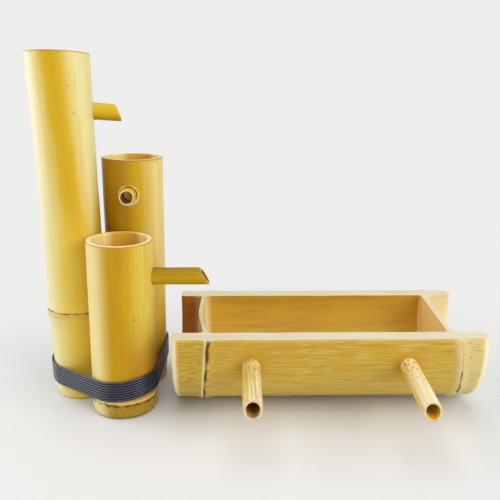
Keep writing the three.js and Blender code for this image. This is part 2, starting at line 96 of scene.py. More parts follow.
def ripple(angle: Array, along: Array, seed: int, orders: tuple[int, ...] = (1, 2, 3, 5)) -> Array:
    """Return a soft unevenness: for each order a sine of order x angle + place / length, over the order.

    Args:
        angle: Angles round the stalk, in radians.
        along: Places along it, in millimetres.
        seed: Picks the phases and the lengths.
        orders: Waves round the stalk.

    Returns:
        Numbers of about -1 to 1.
    """
    pick = np.random.default_rng(seed)
    total = np.zeros(np.broadcast(angle, along).shape)
    for order in orders:
        length, phase = pick.uniform(40.0, 160.0), pick.uniform(0.0, 2.0 * np.pi)
        total = total + np.sin(order * angle + 2.0 * np.pi * along / length + phase) / order
    return total / 2.04


def ragged(angle: Array, seed: int, finest: int = 46) -> Array:
    """Return a jagged closed line round a circle: nine sines of mixed orders, added with equal weight.

    Args:
        angle: Angles round the circle, in radians.
        seed: Picks the orders and the phases.
        finest: The highest order.

    Returns:
        Numbers of about -1 to 1.
    """
    pick = np.random.default_rng(seed)
    orders = pick.choice(np.arange(3, finest), 9, replace=False)
    phases = pick.uniform(0.0, 2.0 * np.pi, 9)
    return np.sin(np.asarray(angle)[..., None] * orders + phases).sum(-1) / 3.5


def facing(own: Array, side: float, width: float) -> Array:
    """Return how nearly places face a side of a stalk: 1 up to half of a width, 0 beyond the width.

    Args:
        own: Places in the stalk's frame.
        side: Bearing of the side, in degrees from own X.
        width: The width, in degrees.

    Returns:
        Numbers from 0 to 1.
    """
    away = np.degrees(np.arctan2(own[:, 1], own[:, 0])) - side
    away = np.abs(np.mod(away + 180.0, 360.0) - 180.0)
    return 1.0 - ease(away, 0.5 * width, width)


# Meshes


def grid_mesh(points: Array, ring: bool) -> bpy.types.Mesh:
    """Return a closed mesh of a grid of points. Its columns close on themselves, and its rows either
    do too, as round a ring, or end in a pole at both ends.

    Args:
        points: Places as (rows, columns, 3).
        ring: Whether the last row joins the first.

    Returns:
        The mesh, with doubles merged and faces turned outwards.
    """
    rows, columns = points.shape[:2]
    numbers = np.arange(rows * columns).reshape(rows, columns)
    lattice = np.column_stack([numbers, numbers[:, :1]])
    if ring:
        lattice = np.vstack([lattice, lattice[:1]])
    faces = np.stack([lattice[:-1, :-1], lattice[:-1, 1:], lattice[1:, 1:], lattice[1:, :-1]], -1)
    mesh = bpy.data.meshes.new("grid")
    mesh.from_pydata(points.reshape(-1, 3).tolist(), [], faces.reshape(-1, 4).tolist())
    return tidied(mesh)


def tidied(mesh: bpy.types.Mesh) -> bpy.types.Mesh:
    """Merge a mesh's doubles and turn its faces outwards.

    Args:
        mesh: The mesh, in millimetres.

    Returns:
        The same mesh.
    """
    shape = bmesh.new()
    shape.from_mesh(mesh)
    bmesh.ops.remove_doubles(shape, verts=shape.verts, dist=2e-4)
    bmesh.ops.dissolve_degenerate(shape, edges=shape.edges, dist=1e-5)
    bmesh.ops.recalc_face_normals(shape, faces=shape.faces)
    shape.to_mesh(mesh)
    shape.free()
    return mesh


def moved(points: Array, frame: Array) -> Array:
    """Return points, with x, y, z last, carried by a 4 x 4 frame."""
    return points @ frame[:3, :3].T + frame[:3, 3]


def cylinder(
    radius: Array | float, low: float, high: float, frame: Array, turns: int = 96
) -> bpy.types.Mesh:
    """Return a round bar along a frame's Z: its four rows are pole, rim, rim, pole.

    Args:
        radius: Its radius, or one for each angle.
        low: Where it starts on Z.
        high: Where it ends on Z.
        frame: The frame.
        turns: Points round it.

    Returns:
        The mesh.
    """
    angle = circle(turns)
    reach = np.array([0.0, 1.0, 1.0, 0.0])[:, None] * radius
    height = np.repeat([low, low, high, high], turns).reshape(4, turns)
    points = np.stack([reach * np.cos(angle), reach * np.sin(angle), height], -1)
    return grid_mesh(moved(points, frame), ring=False)


def block(low: tuple[float, float, float], high: tuple[float, float, float]) -> bpy.types.Mesh:
    """Return a box between two corners.

    Args:
        low: Its lowest corner.
        high: Its highest corner.

    Returns:
        The mesh.
    """
    frame = np.diag([*(np.subtract(high, low) / math.sqrt(2.0)), 1.0])
    frame[:3, 3] = np.add(low, high) / 2.0
    frame[2, 2] = high[2] - low[2]
    turned = frame @ bearing_frame(45.0)
    return cylinder(1.0, -0.5, 0.5, turned, 4)


def bearing_frame(degrees: float) -> Array:
    """Return a frame turned about Z by a number of degrees.

    Args:
        degrees: The turn.

    Returns:
        The 4 x 4 frame.
    """
    turn = math.radians(degrees)
    frame = np.eye(4)
    frame[:2, :2] = [[math.cos(turn), -math.sin(turn)], [math.sin(turn), math.cos(turn)]]
    return frame


def arch_cutter(foot: tuple[float, float], degrees: float, width: float, height: float) -> bpy.types.Mesh:
    """Return the cutter of an arch through a foot's wall: a half circle over straight sides.

    Its outline is a radius for each angle from upright, round the middle of the half circle: half the
    width above, and as far as the straight sides and the floor below.

    Args:
        foot: Middle of the foot.
        degrees: Bearing that the arch faces.
        width: Width of the arch.
        height: Height of its crown.

    Returns:
        The mesh.
    """
    half = width / 2.0
    angle = circle(96)
    sides = half / np.maximum(np.abs(np.sin(angle)), 1e-6)
    floor = (height - half + 9.0) / np.maximum(np.abs(np.cos(angle)), 1e-6)
    outline = np.where(np.cos(angle) >= 0.0, half, np.minimum(sides, floor))
    frame = bearing_frame(degrees) @ np.array(
        [[0.0, 0.0, 1.0, 0.0], [0.0, 1.0, 0.0, 0.0], [-1.0, 0.0, 0.0, 0.0], [0.0, 0.0, 0.0, 1.0]]
    ) @ bearing_frame(180.0)
    frame[:3, 3] = (*foot, height - half)
    return cylinder(outline, 12.0, 40.0, frame)


def carved(blank: bpy.types.Mesh, cutters: list[bpy.types.Mesh]) -> bpy.types.Mesh:
    """Take cutters out of a blank, one after another.

    Args:
        blank: The closed mesh to cut.
        cutters: Closed meshes.

    Returns:
        The cut mesh.
    """
    piece = bpy.data.objects.new("blank", blank)
    tools = [bpy.data.objects.new("cutter", cutter) for cutter in cutters]
    for item in (piece, *tools):
        bpy.context.scene.collection.objects.link(item)
    for tool in tools:
        cut = piece.modifiers.new("cut", "BOOLEAN")
        cut.operation, cut.solver, cut.object = "DIFFERENCE", "EXACT", tool
    depsgraph = bpy.context.evaluated_depsgraph_get()
    mesh = bpy.data.meshes.new_from_object(piece.evaluated_get(depsgraph))
    for item in (piece, *tools):
        old = item.data
        bpy.data.objects.remove(item)
        bpy.data.meshes.remove(old)
    return tidied(mesh)


@dataclass(frozen=True)
class Dressing:
    """How a finished mesh becomes a piece of the scene.

    Attributes:
        name: Name of the object.
        node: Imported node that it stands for, if any.
        slot: The record's material slot.
        materials: Materials, in the order of Side.
    """

    name: str
    # slot: The record's material slot; not used.
    node: str | None
    slot: str
    materials: tuple[bpy.types.Material, ...]

    def dress(
        self,
        mesh: bpy.types.Mesh,
        frame: Array,
        side_of: Callable[[Array, Array], Array],
        marks: Marks,
    ) -> bpy.types.Object:
        """Give a mesh in room millimetres its attributes and materials, and put it in the scene.

        Args:
            mesh: The mesh.
            frame: The stalk's frame in the room.
            side_of: Gives each face's Side from its own-frame centre and normal.
            marks: Attributes, each worked out from own-frame places.

        Returns:
            The object.
        """
        back = np.linalg.inv(frame)
        room = np.empty(len(mesh.vertices) * 3)
        mesh.vertices.foreach_get("co", room)
        own = moved(room.reshape(-1, 3), back)
        centres = np.empty(len(mesh.polygons) * 3)
        normals = np.empty(len(mesh.polygons) * 3)
        mesh.polygons.foreach_get("center", centres)
        mesh.polygons.foreach_get("normal", normals)
        own_normals = normals.reshape(-1, 3) @ back[:3, :3].T
        sides = side_of(moved(centres.reshape(-1, 3), back), own_normals)

        for material in self.materials:
            mesh.materials.append(material)
        mesh.polygons.foreach_set("material_index", sides.astype(np.int32))
        stalk = mesh.attributes.new("stalk", "FLOAT_VECTOR", "POINT")
        stalk.data.foreach_set("vector", (own * MM).astype(np.float32).ravel())
        for mark, rule in marks.items():
            values = mesh.attributes.new(mark, "FLOAT", "POINT")
            values.data.foreach_set("value", rule(own).astype(np.float32))
        mesh.vertices.foreach_set("co", room * MM)
        mesh.shade_smooth()
        mesh.set_sharp_from_angle(angle=math.radians(SHARP_DEGREES))
        mesh.update()
        mesh.name = self.name

        piece = bpy.data.objects.new(self.name, mesh)
        bpy.context.scene.collection.objects.link(piece)
        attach(piece, "root")
        if self.node:
            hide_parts(self.node)
        log.info("%s: %d faces", self.name, len(mesh.polygons))
        return piece


# Stalks


@dataclass(frozen=True)
class Knuckle:
    """A node of a stalk, seen from outside: a swollen ridge with a fibrous scar round it.

    Attributes:
        at: Middle of the ridge along the stalk.
        rise: Height of the ridge.
        run: Length of the ridge to each side.
        scar: Middle of the scar along the stalk.
        hold: Distance over which a slant dies away.
        slant: Shift along the stalk as a share of the place across it.
        span: Lowest and highest own Y between which its scar is dark.
        swell: How much wider its scar is towards the top than at the bottom, as a share.
        pale: Shift from the scar, width and strength of the pale line along it.
    """

    at: float
    rise: float
    run: float
    scar: float
    hold: float = 1.0
    slant: float = 0.0
    span: tuple[float, float] = (-100.0, 100.0)
    swell: float = 0.0
    pale: tuple[float, float, float] = (-2.5, 3.0, 1.0)


@dataclass
class Stalk:
    """What every culm has: girths, knuckles, a wall, and rounded ends.

    Attributes:
        length: Length along the fibres.
        girths: Pairs of a place and the outer radius there.
        wall: Thickness of the wall.
        knuckles: The nodes.
        foot_round: Rise and run of the sanded lower edge.
        top_round: Rise and run of the sanded upper edge.
        seed: Picks the unevenness.
    """

    length: float
    girths: tuple[tuple[float, float], ...]
    wall: float
    knuckles: tuple[Knuckle, ...]
    foot_round: tuple[float, float]
    top_round: tuple[float, float]
    seed: int

    def taper(self, along: Array) -> Array:
        """Return the outer radius without nodes: straight lines between the known girths."""
        places, radii = np.transpose(self.girths)
        return np.interp(along, places, radii)

    def rounding(self, distance: Array, ellipse: tuple[float, float]) -> Array:
        """Return what a quarter ellipse takes off a radius at a distance from an end.

        Args:
            distance: Distances from the end.
            ellipse: Its rise and run.

        Returns:
            The losses of radius.
        """
        rise, run = ellipse
        share = 1.0 - np.clip(distance / run, 0.0, 1.0)
        return rise * (1.0 - np.sqrt(1.0 - share * share))

    def outer(self, angle: Array, along: Array) -> Array:
        """Return the skin's radius: taper, plus squared-cosine ridges, less ragged scars, rounded ends
        and a soft unevenness that only ever takes away.

        Args:
            angle: Angles round the stalk.
            along: Places along it.

        Returns:
            The radii.
        """
        radius = self.taper(along) - SKIN_WAVE * (1.0 + ripple(angle, along, self.seed))
        for number, knuckle in enumerate(self.knuckles):
            off = np.clip(np.abs(along - knuckle.at) / knuckle.run, 0.0, 1.0)
            radius = radius + knuckle.rise * np.cos(np.pi / 2.0 * off) ** 2
            line = self.scar_line(number, angle)
            depth = 0.45 + 0.25 * ragged(angle, self.seed + 17 + number, 60)
            radius = radius - depth * np.exp(-(((along - line) / SCAR_GROOVE) ** 2))
        radius = radius - self.rounding(along, self.foot_round)
        return radius - self.rounding(self.length - along, self.top_round)

    def slanted(self, x: Array, along: Array) -> Array:
        """Return places along the stalk after its nodes' slant, which is nothing at its ends.

        Args:
            x: Places across the stalk.
            along: Places along it.

        Returns:
            The shifted places.
        """
        shifted = along
        for knuckle in self.knuckles:
            hold = np.clip(1.0 - ((along - knuckle.at) / knuckle.hold) ** 2, 0.0, None) ** 2
            shifted = shifted + knuckle.slant * x * hold
        return shifted

    def scar_line(self, number: int, angle: Array) -> Array:
        """Return a scar's place along the stalk for each angle: its middle plus a ragged line."""
        return self.knuckles[number].scar + SCAR_WANDER * ragged(angle, self.seed + 7 + number)

    def scar_mark(self, own: Array, width: float) -> Array:
        """Return how near places are to a scar: a bell curve of the distance from its ragged line.

        Args:
            own: Places in the stalk's frame.
            width: Width of the bell.

        Returns:
            Numbers from 0 to 1.
        """
        angle = np.arctan2(own[:, 1], own[:, 0])
        total = np.zeros(len(own))
        for number, knuckle in enumerate(self.knuckles):
            line = self.slanted(-own[:, 1], self.scar_line(number, angle))
            worn = 0.75 + 0.45 * ragged(angle, self.seed + 27 + number, 24)
            wide = width * np.clip(worn, 0.4, 1.3)
            swollen = wide * knuckle.swell * ease(own[:, 1], -20.0, 4.0)
            bell = np.exp(-(((own[:, 2] - line - 0.6 * swollen) / (wide + swollen)) ** 2))
            low, high = knuckle.span
            seen = ease(own[:, 1], low - 3.0, low) * ease(-own[:, 1], -high - 3.0, -high)
            total += bell * np.clip(worn + 0.25, 0.0, 1.0) * seen
        return np.minimum(total, 1.0)

    def stations(self, low: float, high: float, step: float = 1.5) -> Array:
        """Return rising places between two ends, close at the sanded ends and at the scars.

        Args:
            low: The lowest place.
            high: The highest place.
            step: Distance of the places elsewhere.

        Returns:
            The places.
        """
        even = np.linspace(low, high, int((high - low) / step) + 2)
        close = [even]
        for ellipse, end, inward in ((self.foot_round, 0.0, 1.0), (self.top_round, self.length, -1.0)):
            close.append(end + inward * ellipse[1] * np.linspace(0.0, 1.0, 9) ** 2)
        for knuckle in self.knuckles:
            close.append(knuckle.scar + np.linspace(-3.0, 3.0, 25))
        places = np.unique(np.round(np.concatenate(close), 3))
        places = places[(places >= low) & (places <= high)]
        return places[np.append(np.diff(places) > 0.08, True)]


def fillet_rows(face: float, inward: float, radius: float, fillet: float) -> Array:
    """Return profile rows from a web's middle to the foot of the wall: out along the web's face and
    round a quarter circle.

    Args:
        face: Place of the web's face along the stalk.
        inward: +1 where the hollow lies above the face, -1 below.
        radius: Radius of the wall.
        fillet: Radius of the quarter circle.

    Returns:
        Rows of (radius, place).
    """
    flat = np.linspace(0.0, radius - fillet, 14)
    turn = np.linspace(0.0, np.pi / 2.0, 9)[1:]
    rows = np.column_stack([flat, np.full(14, face)])
    arc = np.column_stack(
        [radius - fillet + fillet * np.sin(turn), face + inward * fillet * (1.0 - np.cos(turn))]
    )
    return np.vstack([rows, arc])


@dataclass
class Spout:
    """A thin hollow culm let into a host's wall. It lies along its own Z, with its top towards own X.

    Attributes:
        name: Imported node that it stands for.
        slot: The record's material slot.
        seat: Point of the host's outer face that its axis passes.
        bearing: Direction seen from above, in degrees from +X.
        droop: How far it points down, in degrees.
        radius: Outer radius.
        wall: Thickness of its wall.
        bevel: How much further its lower lip reaches than its upper one.
        reach: Distance from the seat to the end of the lower lip.
        rooted: How far it goes in from the seat.
        facets: Number and depth of the flats left by whittling.
        seed: Picks the unevenness.
        worn: How much the skin draws in, and two thirds as much the bore widens, towards the lip.
        crack: Angle of a crack in the lip, in degrees from the spout's top, if it has one.
        fit: Gap between the spout and the hole in its host.
    """

    name: str
    slot: str
    seat: tuple[float, float, float]
    bearing: float
    droop: float
    radius: float
    wall: float
    bevel: float
    reach: float
    rooted: float
    seed: int
    facets: tuple[int, float] = (0, 0.0)
    worn: float = 0.4
    crack: float | None = None
    fit: float = 0.3

    @property
    def frame(self) -> Array:
        """The frame.

        Returns:
            4 x 4, with own Z outwards and own X upwards.
        """
        bearing, droop = math.radians(self.bearing), math.radians(self.droop)
        out = np.array(
            [math.cos(bearing) * math.cos(droop), math.sin(bearing) * math.cos(droop), -math.sin(droop)]
        )
        top = np.array(
            [math.cos(bearing) * math.sin(droop), math.sin(bearing) * math.sin(droop), math.cos(droop)]
        )
        frame = np.eye(4)
        frame[:3, :3] = np.column_stack([top, np.cross(out, top), out])
        frame[:3, 3] = self.seat
        return frame

    def drill(self) -> bpy.types.Mesh:
        """Make the cutter for the hole in the host.

        Returns:
            The mesh, slightly uneven round its edge.
        """
        angle = circle(96)
        radius = self.radius + self.fit * (1.4 + 0.4 * ragged(angle, self.seed, 20))
        return cylinder(radius, -self.rooted - 9.0, 9.0, self.frame)

    def surface(self, columns: int = 144) -> Array:
        """Return the tube's points: rows run out along the skin, over the lip, back along the bore.

        The skin's radius loses a whittled flat, which is deepest in the middle between two corners, and
        it draws in over the last 3 mm. The lip's plane is reach - bevel x (x + radius) / (2 x radius)
        along the tube.

        Args:
            columns: Points round the tube.

        Returns:
            Places as (rows, columns, 3).
        """
        angle = circle(columns)
        share = 1.0 - (1.0 - np.linspace(0.0, 1.0, 60)) ** 1.7
        bore = self.radius - self.wall
        rows = np.concatenate([share, np.full(7, 1.0), share[::-1], np.zeros(5)])[:, None]
        blend = np.concatenate([np.zeros(60), np.linspace(0.0, 1.0, 9)[1:-1], np.ones(60),
                                np.linspace(1.0, 0.0, 7)[1:-1]])[:, None]
        count, depth = self.facets
        flats = depth * np.abs(np.sin(count * angle / 2.0)) if count else np.zeros_like(angle)
        soft = 0.12 * (1.0 + ripple(angle, rows * self.reach, self.seed))
        whole = self.rooted + self.reach - self.bevel * (1.0 + np.cos(angle)) / 2.0
        worn = self.worn * (1.0 - ease((1.0 - rows) * whole, 0.0, 3.0))
        free = ease(rows * whole - self.rooted, 0.0, 6.0)
        skin = self.radius - (soft + flats) * free - worn
        inner = bore + 0.1 * ripple(angle, rows * self.reach, self.seed + 1) + 0.67 * worn
        radius = skin + (inner - skin) * blend
        lip = np.sin(np.pi * blend) ** 0.5 * (rows > 0.99) * 0.25
        x, y = radius * np.cos(angle), radius * np.sin(angle)
        end = self.reach - 0.25 - self.bevel * (x + self.radius) / (2.0 * self.radius)
        along = -self.rooted + rows * (end + self.rooted) + lip
        return np.stack([x, y, along], -1)

    def side_of(self, centres: Array, normals: Array) -> Array:
        """Sort faces: the bore where they face the axis, the sawn lip where they face along it."""
        radial = (centres[:, :2] * normals[:, :2]).sum(1) / np.hypot(*centres[:, :2].T)
        return np.where(radial < -0.6, Side.BORE, np.where(radial > 0.6, Side.SKIN, Side.SAWN))

    def build(self, materials: tuple[bpy.types.Material, ...]) -> bpy.types.Object:
        """Make the spout and put it in the scene.

        Args:
            materials: Materials, in the order of Side.

        Returns:
            The object.
        """
        frame = self.frame
        mesh = grid_mesh(moved(self.surface(), frame), ring=True)

        def crack(own: Array) -> Array:
            """Return how near places are to the crack, a line that widens towards the lip.

            Args:
                own: Places in the spout's frame.

            Returns:
                Numbers from 0 to 1.
            """
            if self.crack is None:
                return np.zeros(len(own))
            off = np.arctan2(own[:, 1], own[:, 0]) - math.radians(self.crack)
            away = self.radius * (np.mod(off + np.pi, 2.0 * np.pi) - np.pi)
            return np.exp(-((away / 0.5) ** 2)) * ease(own[:, 2], self.reach - 5.0, self.reach - 1.5)

        marks: Marks = {
            "root": lambda own: 1.0 - ease(own[:, 2], 0.0, 0.75 * self.reach),
            "crack": crack,
        }
        return Dressing(self.name + "_looks", self.name, self.slot, materials).dress(
            mesh, frame, self.side_of, marks
        )


@dataclass
class FrayedRing:
    """Torn fibres that stand up round a drilled hole, as a low double ring lying on the host's skin.

    Attributes:
        name: Name of the object.
        spout: The spout in the hole.
        host_radius: Outer radius of the host.
        inner: Radius of the hole.
        outer: Radius of the torn edge.
        rise: Height of the fibres.
        gap_bearing: Angle, from the spout's top, of the side where the hole stands open.
    """

    name: str
    spout: Spout
    host_radius: float
    inner: float
    outer: float
    rise: float
    gap_bearing: float

    def surface(self, columns: int = 180) -> Array:
        """Return the ring's points: out over two ragged crests, and back under the host's skin.

        The height is a quarter of the rise plus the rise times the absolute sine of two half waves
        across the ring. A place lies on the host where its depth is sqrt(R x R - y x y) - R.

        Args:
            columns: Points round the ring.

        Returns:
            Places as (rows, columns, 3).
        """
        angle = circle(columns)
        share = np.linspace(0.0, 1.0, 17)[:, None]
        edge = self.outer + 0.5 * ragged(angle, 71) * np.ones_like(share)
        over = self.inner + (edge - self.inner) * share
        crest = np.abs(np.sin(2.0 * np.pi * share)) * (0.75 + 0.35 * ragged(angle, 72, 70))
        height = self.rise * (0.25 + crest) * (1.0 - share**6)
        radius = np.vstack([over, over[::-1]])
        lift = np.vstack([height, np.full_like(height, -0.4)])
        x, y = radius * np.cos(angle), radius * np.sin(angle)
        depth = np.sqrt(self.host_radius**2 - y**2) - self.host_radius
        return np.stack([x, y, depth + lift], -1)

    def build(self, material: bpy.types.Material) -> bpy.types.Object:
        """Make the ring and put it in the scene.

        Args:
            material: Its material.

        Returns:
            The object.
        """
        mesh = grid_mesh(moved(self.surface(), self.spout.frame), ring=True)

        def gap_shade(own: Array) -> Array:
            """Return how far places lie in the open part of the hole, from 0 to 1.

            Args:
                own: Places in the spout's frame.

            Returns:
                The shares.
            """
            angle = np.arctan2(own[:, 1], own[:, 0]) - math.radians(self.gap_bearing)
            share = (np.hypot(own[:, 0], own[:, 1]) - self.inner) / (self.outer - self.inner)
            # The torn fibres here are painted dark: painted shade of the open gap into the culm
            return ease(np.cos(angle), 0.0, 0.8) * (1.0 - ease(share, 0.35, 0.5))

        return Dressing(self.name, None, "culm_skin", (material,)).dress(
            mesh, self.spout.frame, lambda centres, normals: np.zeros(len(centres)), {"gap_shade": gap_shade}
        )


@dataclass(frozen=True)
class Patch:
    """A side of a culm where light and shade are painted, over a range of heights.

    Attributes:
        side: Bearing of the side, in degrees from own X.
        width: Its half width, in degrees.
        begins: Height at which it begins.
        full: Height at which it is full, above or below that.
        least: Its share before it begins.
    """

    side: float
    width: float
    begins: float = -1.0
    full: float = 0.0
    least: float = 0.0

    def mark(self, own: Array) -> Array:
        """Return how much places belong to the patch, from 0 to 1."""
        grown = self.least + (1.0 - self.least) * ease(own[:, 2], self.begins, self.full)
        return facing(own, self.side, self.width) * grown


@dataclass
class Culm(Stalk):
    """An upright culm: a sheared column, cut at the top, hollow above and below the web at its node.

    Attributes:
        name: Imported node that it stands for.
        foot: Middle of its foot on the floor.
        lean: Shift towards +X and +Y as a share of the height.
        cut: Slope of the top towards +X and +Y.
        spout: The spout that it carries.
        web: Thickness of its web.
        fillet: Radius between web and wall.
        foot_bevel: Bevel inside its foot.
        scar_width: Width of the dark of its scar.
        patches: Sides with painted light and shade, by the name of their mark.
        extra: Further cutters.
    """

    name: str = ""
    foot: tuple[float, float] = (0.0, 0.0)
    lean: tuple[float, float] = (0.0, 0.0)
    cut: tuple[float, float] = (0.0, 0.0)
    spout: Spout | None = None
    web: float = 3.0
    fillet: float = 3.5
    foot_bevel: float = 0.6
    scar_width: float = 0.75
    patches: dict[str, Patch] = field(default_factory=dict)
    extra: list[bpy.types.Mesh] = field(default_factory=list)

    @property
    def frame(self) -> Array:
        """The frame.

        Returns:
            4 x 4: a shear by the lean, and the foot's place.
        """
        frame = np.eye(4)
        frame[:2, 2] = self.lean
        frame[:2, 3] = self.foot
        return frame

    def surface(self, columns: int = 216) -> Array:
        """Return the culm's points. Its rows run from the middle of the web's top up the inner wall,
        over the rim, down the skin, in under the foot and up to the middle of the web's underside.

        Near the top each place along the culm is raised by the slope of the cut, in full at the rim
        and by nothing CUT_HOLD below it.

        Args:
            columns: Points round the culm.

        Returns:
            Places as (rows, columns, 3).
        """
        web_at = self.knuckles[0].at
        bore_low = self.taper(np.array(web_at)) - self.wall
        top_web = fillet_rows(web_at + self.web / 2.0, 1.0, bore_low, self.fillet)
        low_web = fillet_rows(web_at - self.web / 2.0, -1.0, bore_low, self.fillet)[::-1]
        up = np.linspace(web_at + self.web / 2.0 + self.fillet + 1.5, self.length - 0.5, 90)
        down = self.stations(0.0, self.length)[::-1]
        low = np.linspace(self.foot_bevel, web_at - self.web / 2.0 - self.fillet - 0.6, 8)
        rim_out = self.taper(np.array(self.length)) - self.top_round[0]
        rim_in = self.taper(np.array(self.length)) - self.wall
        foot_out = self.taper(np.array(0.0)) - self.foot_round[0]
        foot_in = self.taper(np.array(0.0)) - self.wall + self.foot_bevel

        inner_up = np.column_stack([self.taper(up) - self.wall, up])
        rim = np.column_stack([np.linspace(rim_in + 0.5, rim_out, 7)[:-1], np.full(6, self.length)])
        under = np.column_stack([np.linspace(foot_out, foot_in, 6)[1:], np.zeros(5)])
        inner_low = np.column_stack([self.taper(low) - self.wall, low])
        skin = np.column_stack([np.zeros(len(down)), down])
        rows = np.vstack([top_web, inner_up, rim, skin, under, inner_low, low_web])
        on_skin = np.zeros(len(rows), bool)
        start = len(top_web) + len(inner_up) + len(rim)
        on_skin[start:start + len(down)] = True
        on_wall = np.zeros(len(rows), bool)
        on_wall[len(top_web):len(top_web) + len(inner_up)] = True

        angle = circle(columns)
        along = rows[:, 1:2] + 0.0 * angle
        inside = rows[:, :1] + 0.22 * ripple(angle, along, self.seed + 3) * on_wall[:, None]
        radius = np.where(on_skin[:, None], self.outer(angle, along), inside)
        x, y = radius * np.cos(angle), radius * np.sin(angle)
        raised = (self.cut[0] * x + self.cut[1] * y) * ease(along, self.length - CUT_HOLD, self.length)
        return np.stack([x, y, along + raised], -1)

    def side_of(self, centres: Array, normals: Array) -> Array:
        """Sort faces: skin near the outer radius facing out, bore within the wall facing in or on the
        web, and sawn wood at the cut, the foot and in the drilled hole.

        Args:
            centres: Own-frame centres of the faces.
            normals: Own-frame normals.

        Returns:
            A Side for each.
        """
        x, y, along = centres.T
        distance = np.hypot(x, y)
        radial = (x * normals[:, 0] + y * normals[:, 1]) / np.maximum(distance, 1e-6)
        limit = self.taper(along) - self.wall
        skin = (distance > limit + 2.2) & (radial > 0.45)
        bore = (distance < limit + 0.9) & (np.abs(along - self.length) > 0.2)
        return np.where(skin, Side.SKIN, np.where(bore, Side.BORE, Side.SAWN))

    def build(self, materials: tuple[bpy.types.Material, ...]) -> bpy.types.Object:
        """Make the culm and put it in the scene.

        Args:
            materials: Materials, in the order of Side.

        Returns:
            The object.
        """
        frame = self.frame
        blank = grid_mesh(moved(self.surface(), frame), ring=False)
        mesh = carved(blank, [self.spout.drill(), *self.extra])
        knuckle = self.knuckles[0]
        shift, width, _ = knuckle.pale
        marks: Marks = {
            # Marks of the patches, where light and shade are painted on the culm's sides and in its bore
            **{name: patch.mark for name, patch in self.patches.items()},
            "rim": lambda own: ease(own[:, 2] - own[:, :2] @ np.array(self.cut), self.length - 1.7,
                                    self.length - 0.5),
            "scar": lambda own: self.scar_mark(own, self.scar_width),
            "halo": lambda own: np.exp(-(((own[:, 2] - knuckle.scar - shift) / width) ** 2)),
            "foot": lambda own: 1.0 - ease(own[:, 2], knuckle.scar - 4.0, knuckle.scar + 4.0),
            "band": lambda own: np.exp(-(((own[:, 2] - knuckle.scar - 2.6) / 1.2) ** 2)),
            "edge": lambda own: 1.0 - ease(own[:, 2], 0.6, 3.0),
        }
        return Dressing(self.name + "_looks", self.name, "culm_skin", materials).dress(
            mesh, frame, self.side_of, marks
        )


@dataclass(frozen=True)
class Web:
    """The wall that a stalk grows across its hollow at a node, left standing in the trough.

    Attributes:
        at: Place of its middle along the stalk.
        thickness: Its thickness.
        fillets: Fillet of its lower and of its upper face.
        dish: How far its edge is carried along the stalk.
        slant: Shift along the stalk as a share of own X.
    """

    at: float
    thickness: float
    fillets: tuple[float, float]
    dish: float
    slant: float

    @property
    def faces(self) -> tuple[tuple[float, float], tuple[float, float]]:
        """Place and fillet of the lower face, and of the upper face."""
        half = self.thickness / 2.0
        return (self.at - half, self.fillets[0]), (self.at + half, self.fillets[1])

    def shift(self, points: Array, radius: float) -> Array:
        """Return how far the web's dish and slant carry places: slant x X + dish x distance / radius,
        in full at the web and by nothing WEB_HOLD away.

        Args:
            points: Places in the trough's frame, with x, y, z last.
            radius: Radius of the hollow.

        Returns:
            The shifts along the stalk.
        """
        kept = np.clip(1.0 - ((points[..., 2] - self.at) / WEB_HOLD) ** 2, 0.0, None) ** 2
        distance = np.hypot(points[..., 0], points[..., 1])
        return kept * (self.slant * points[..., 0] + self.dish * distance / radius)


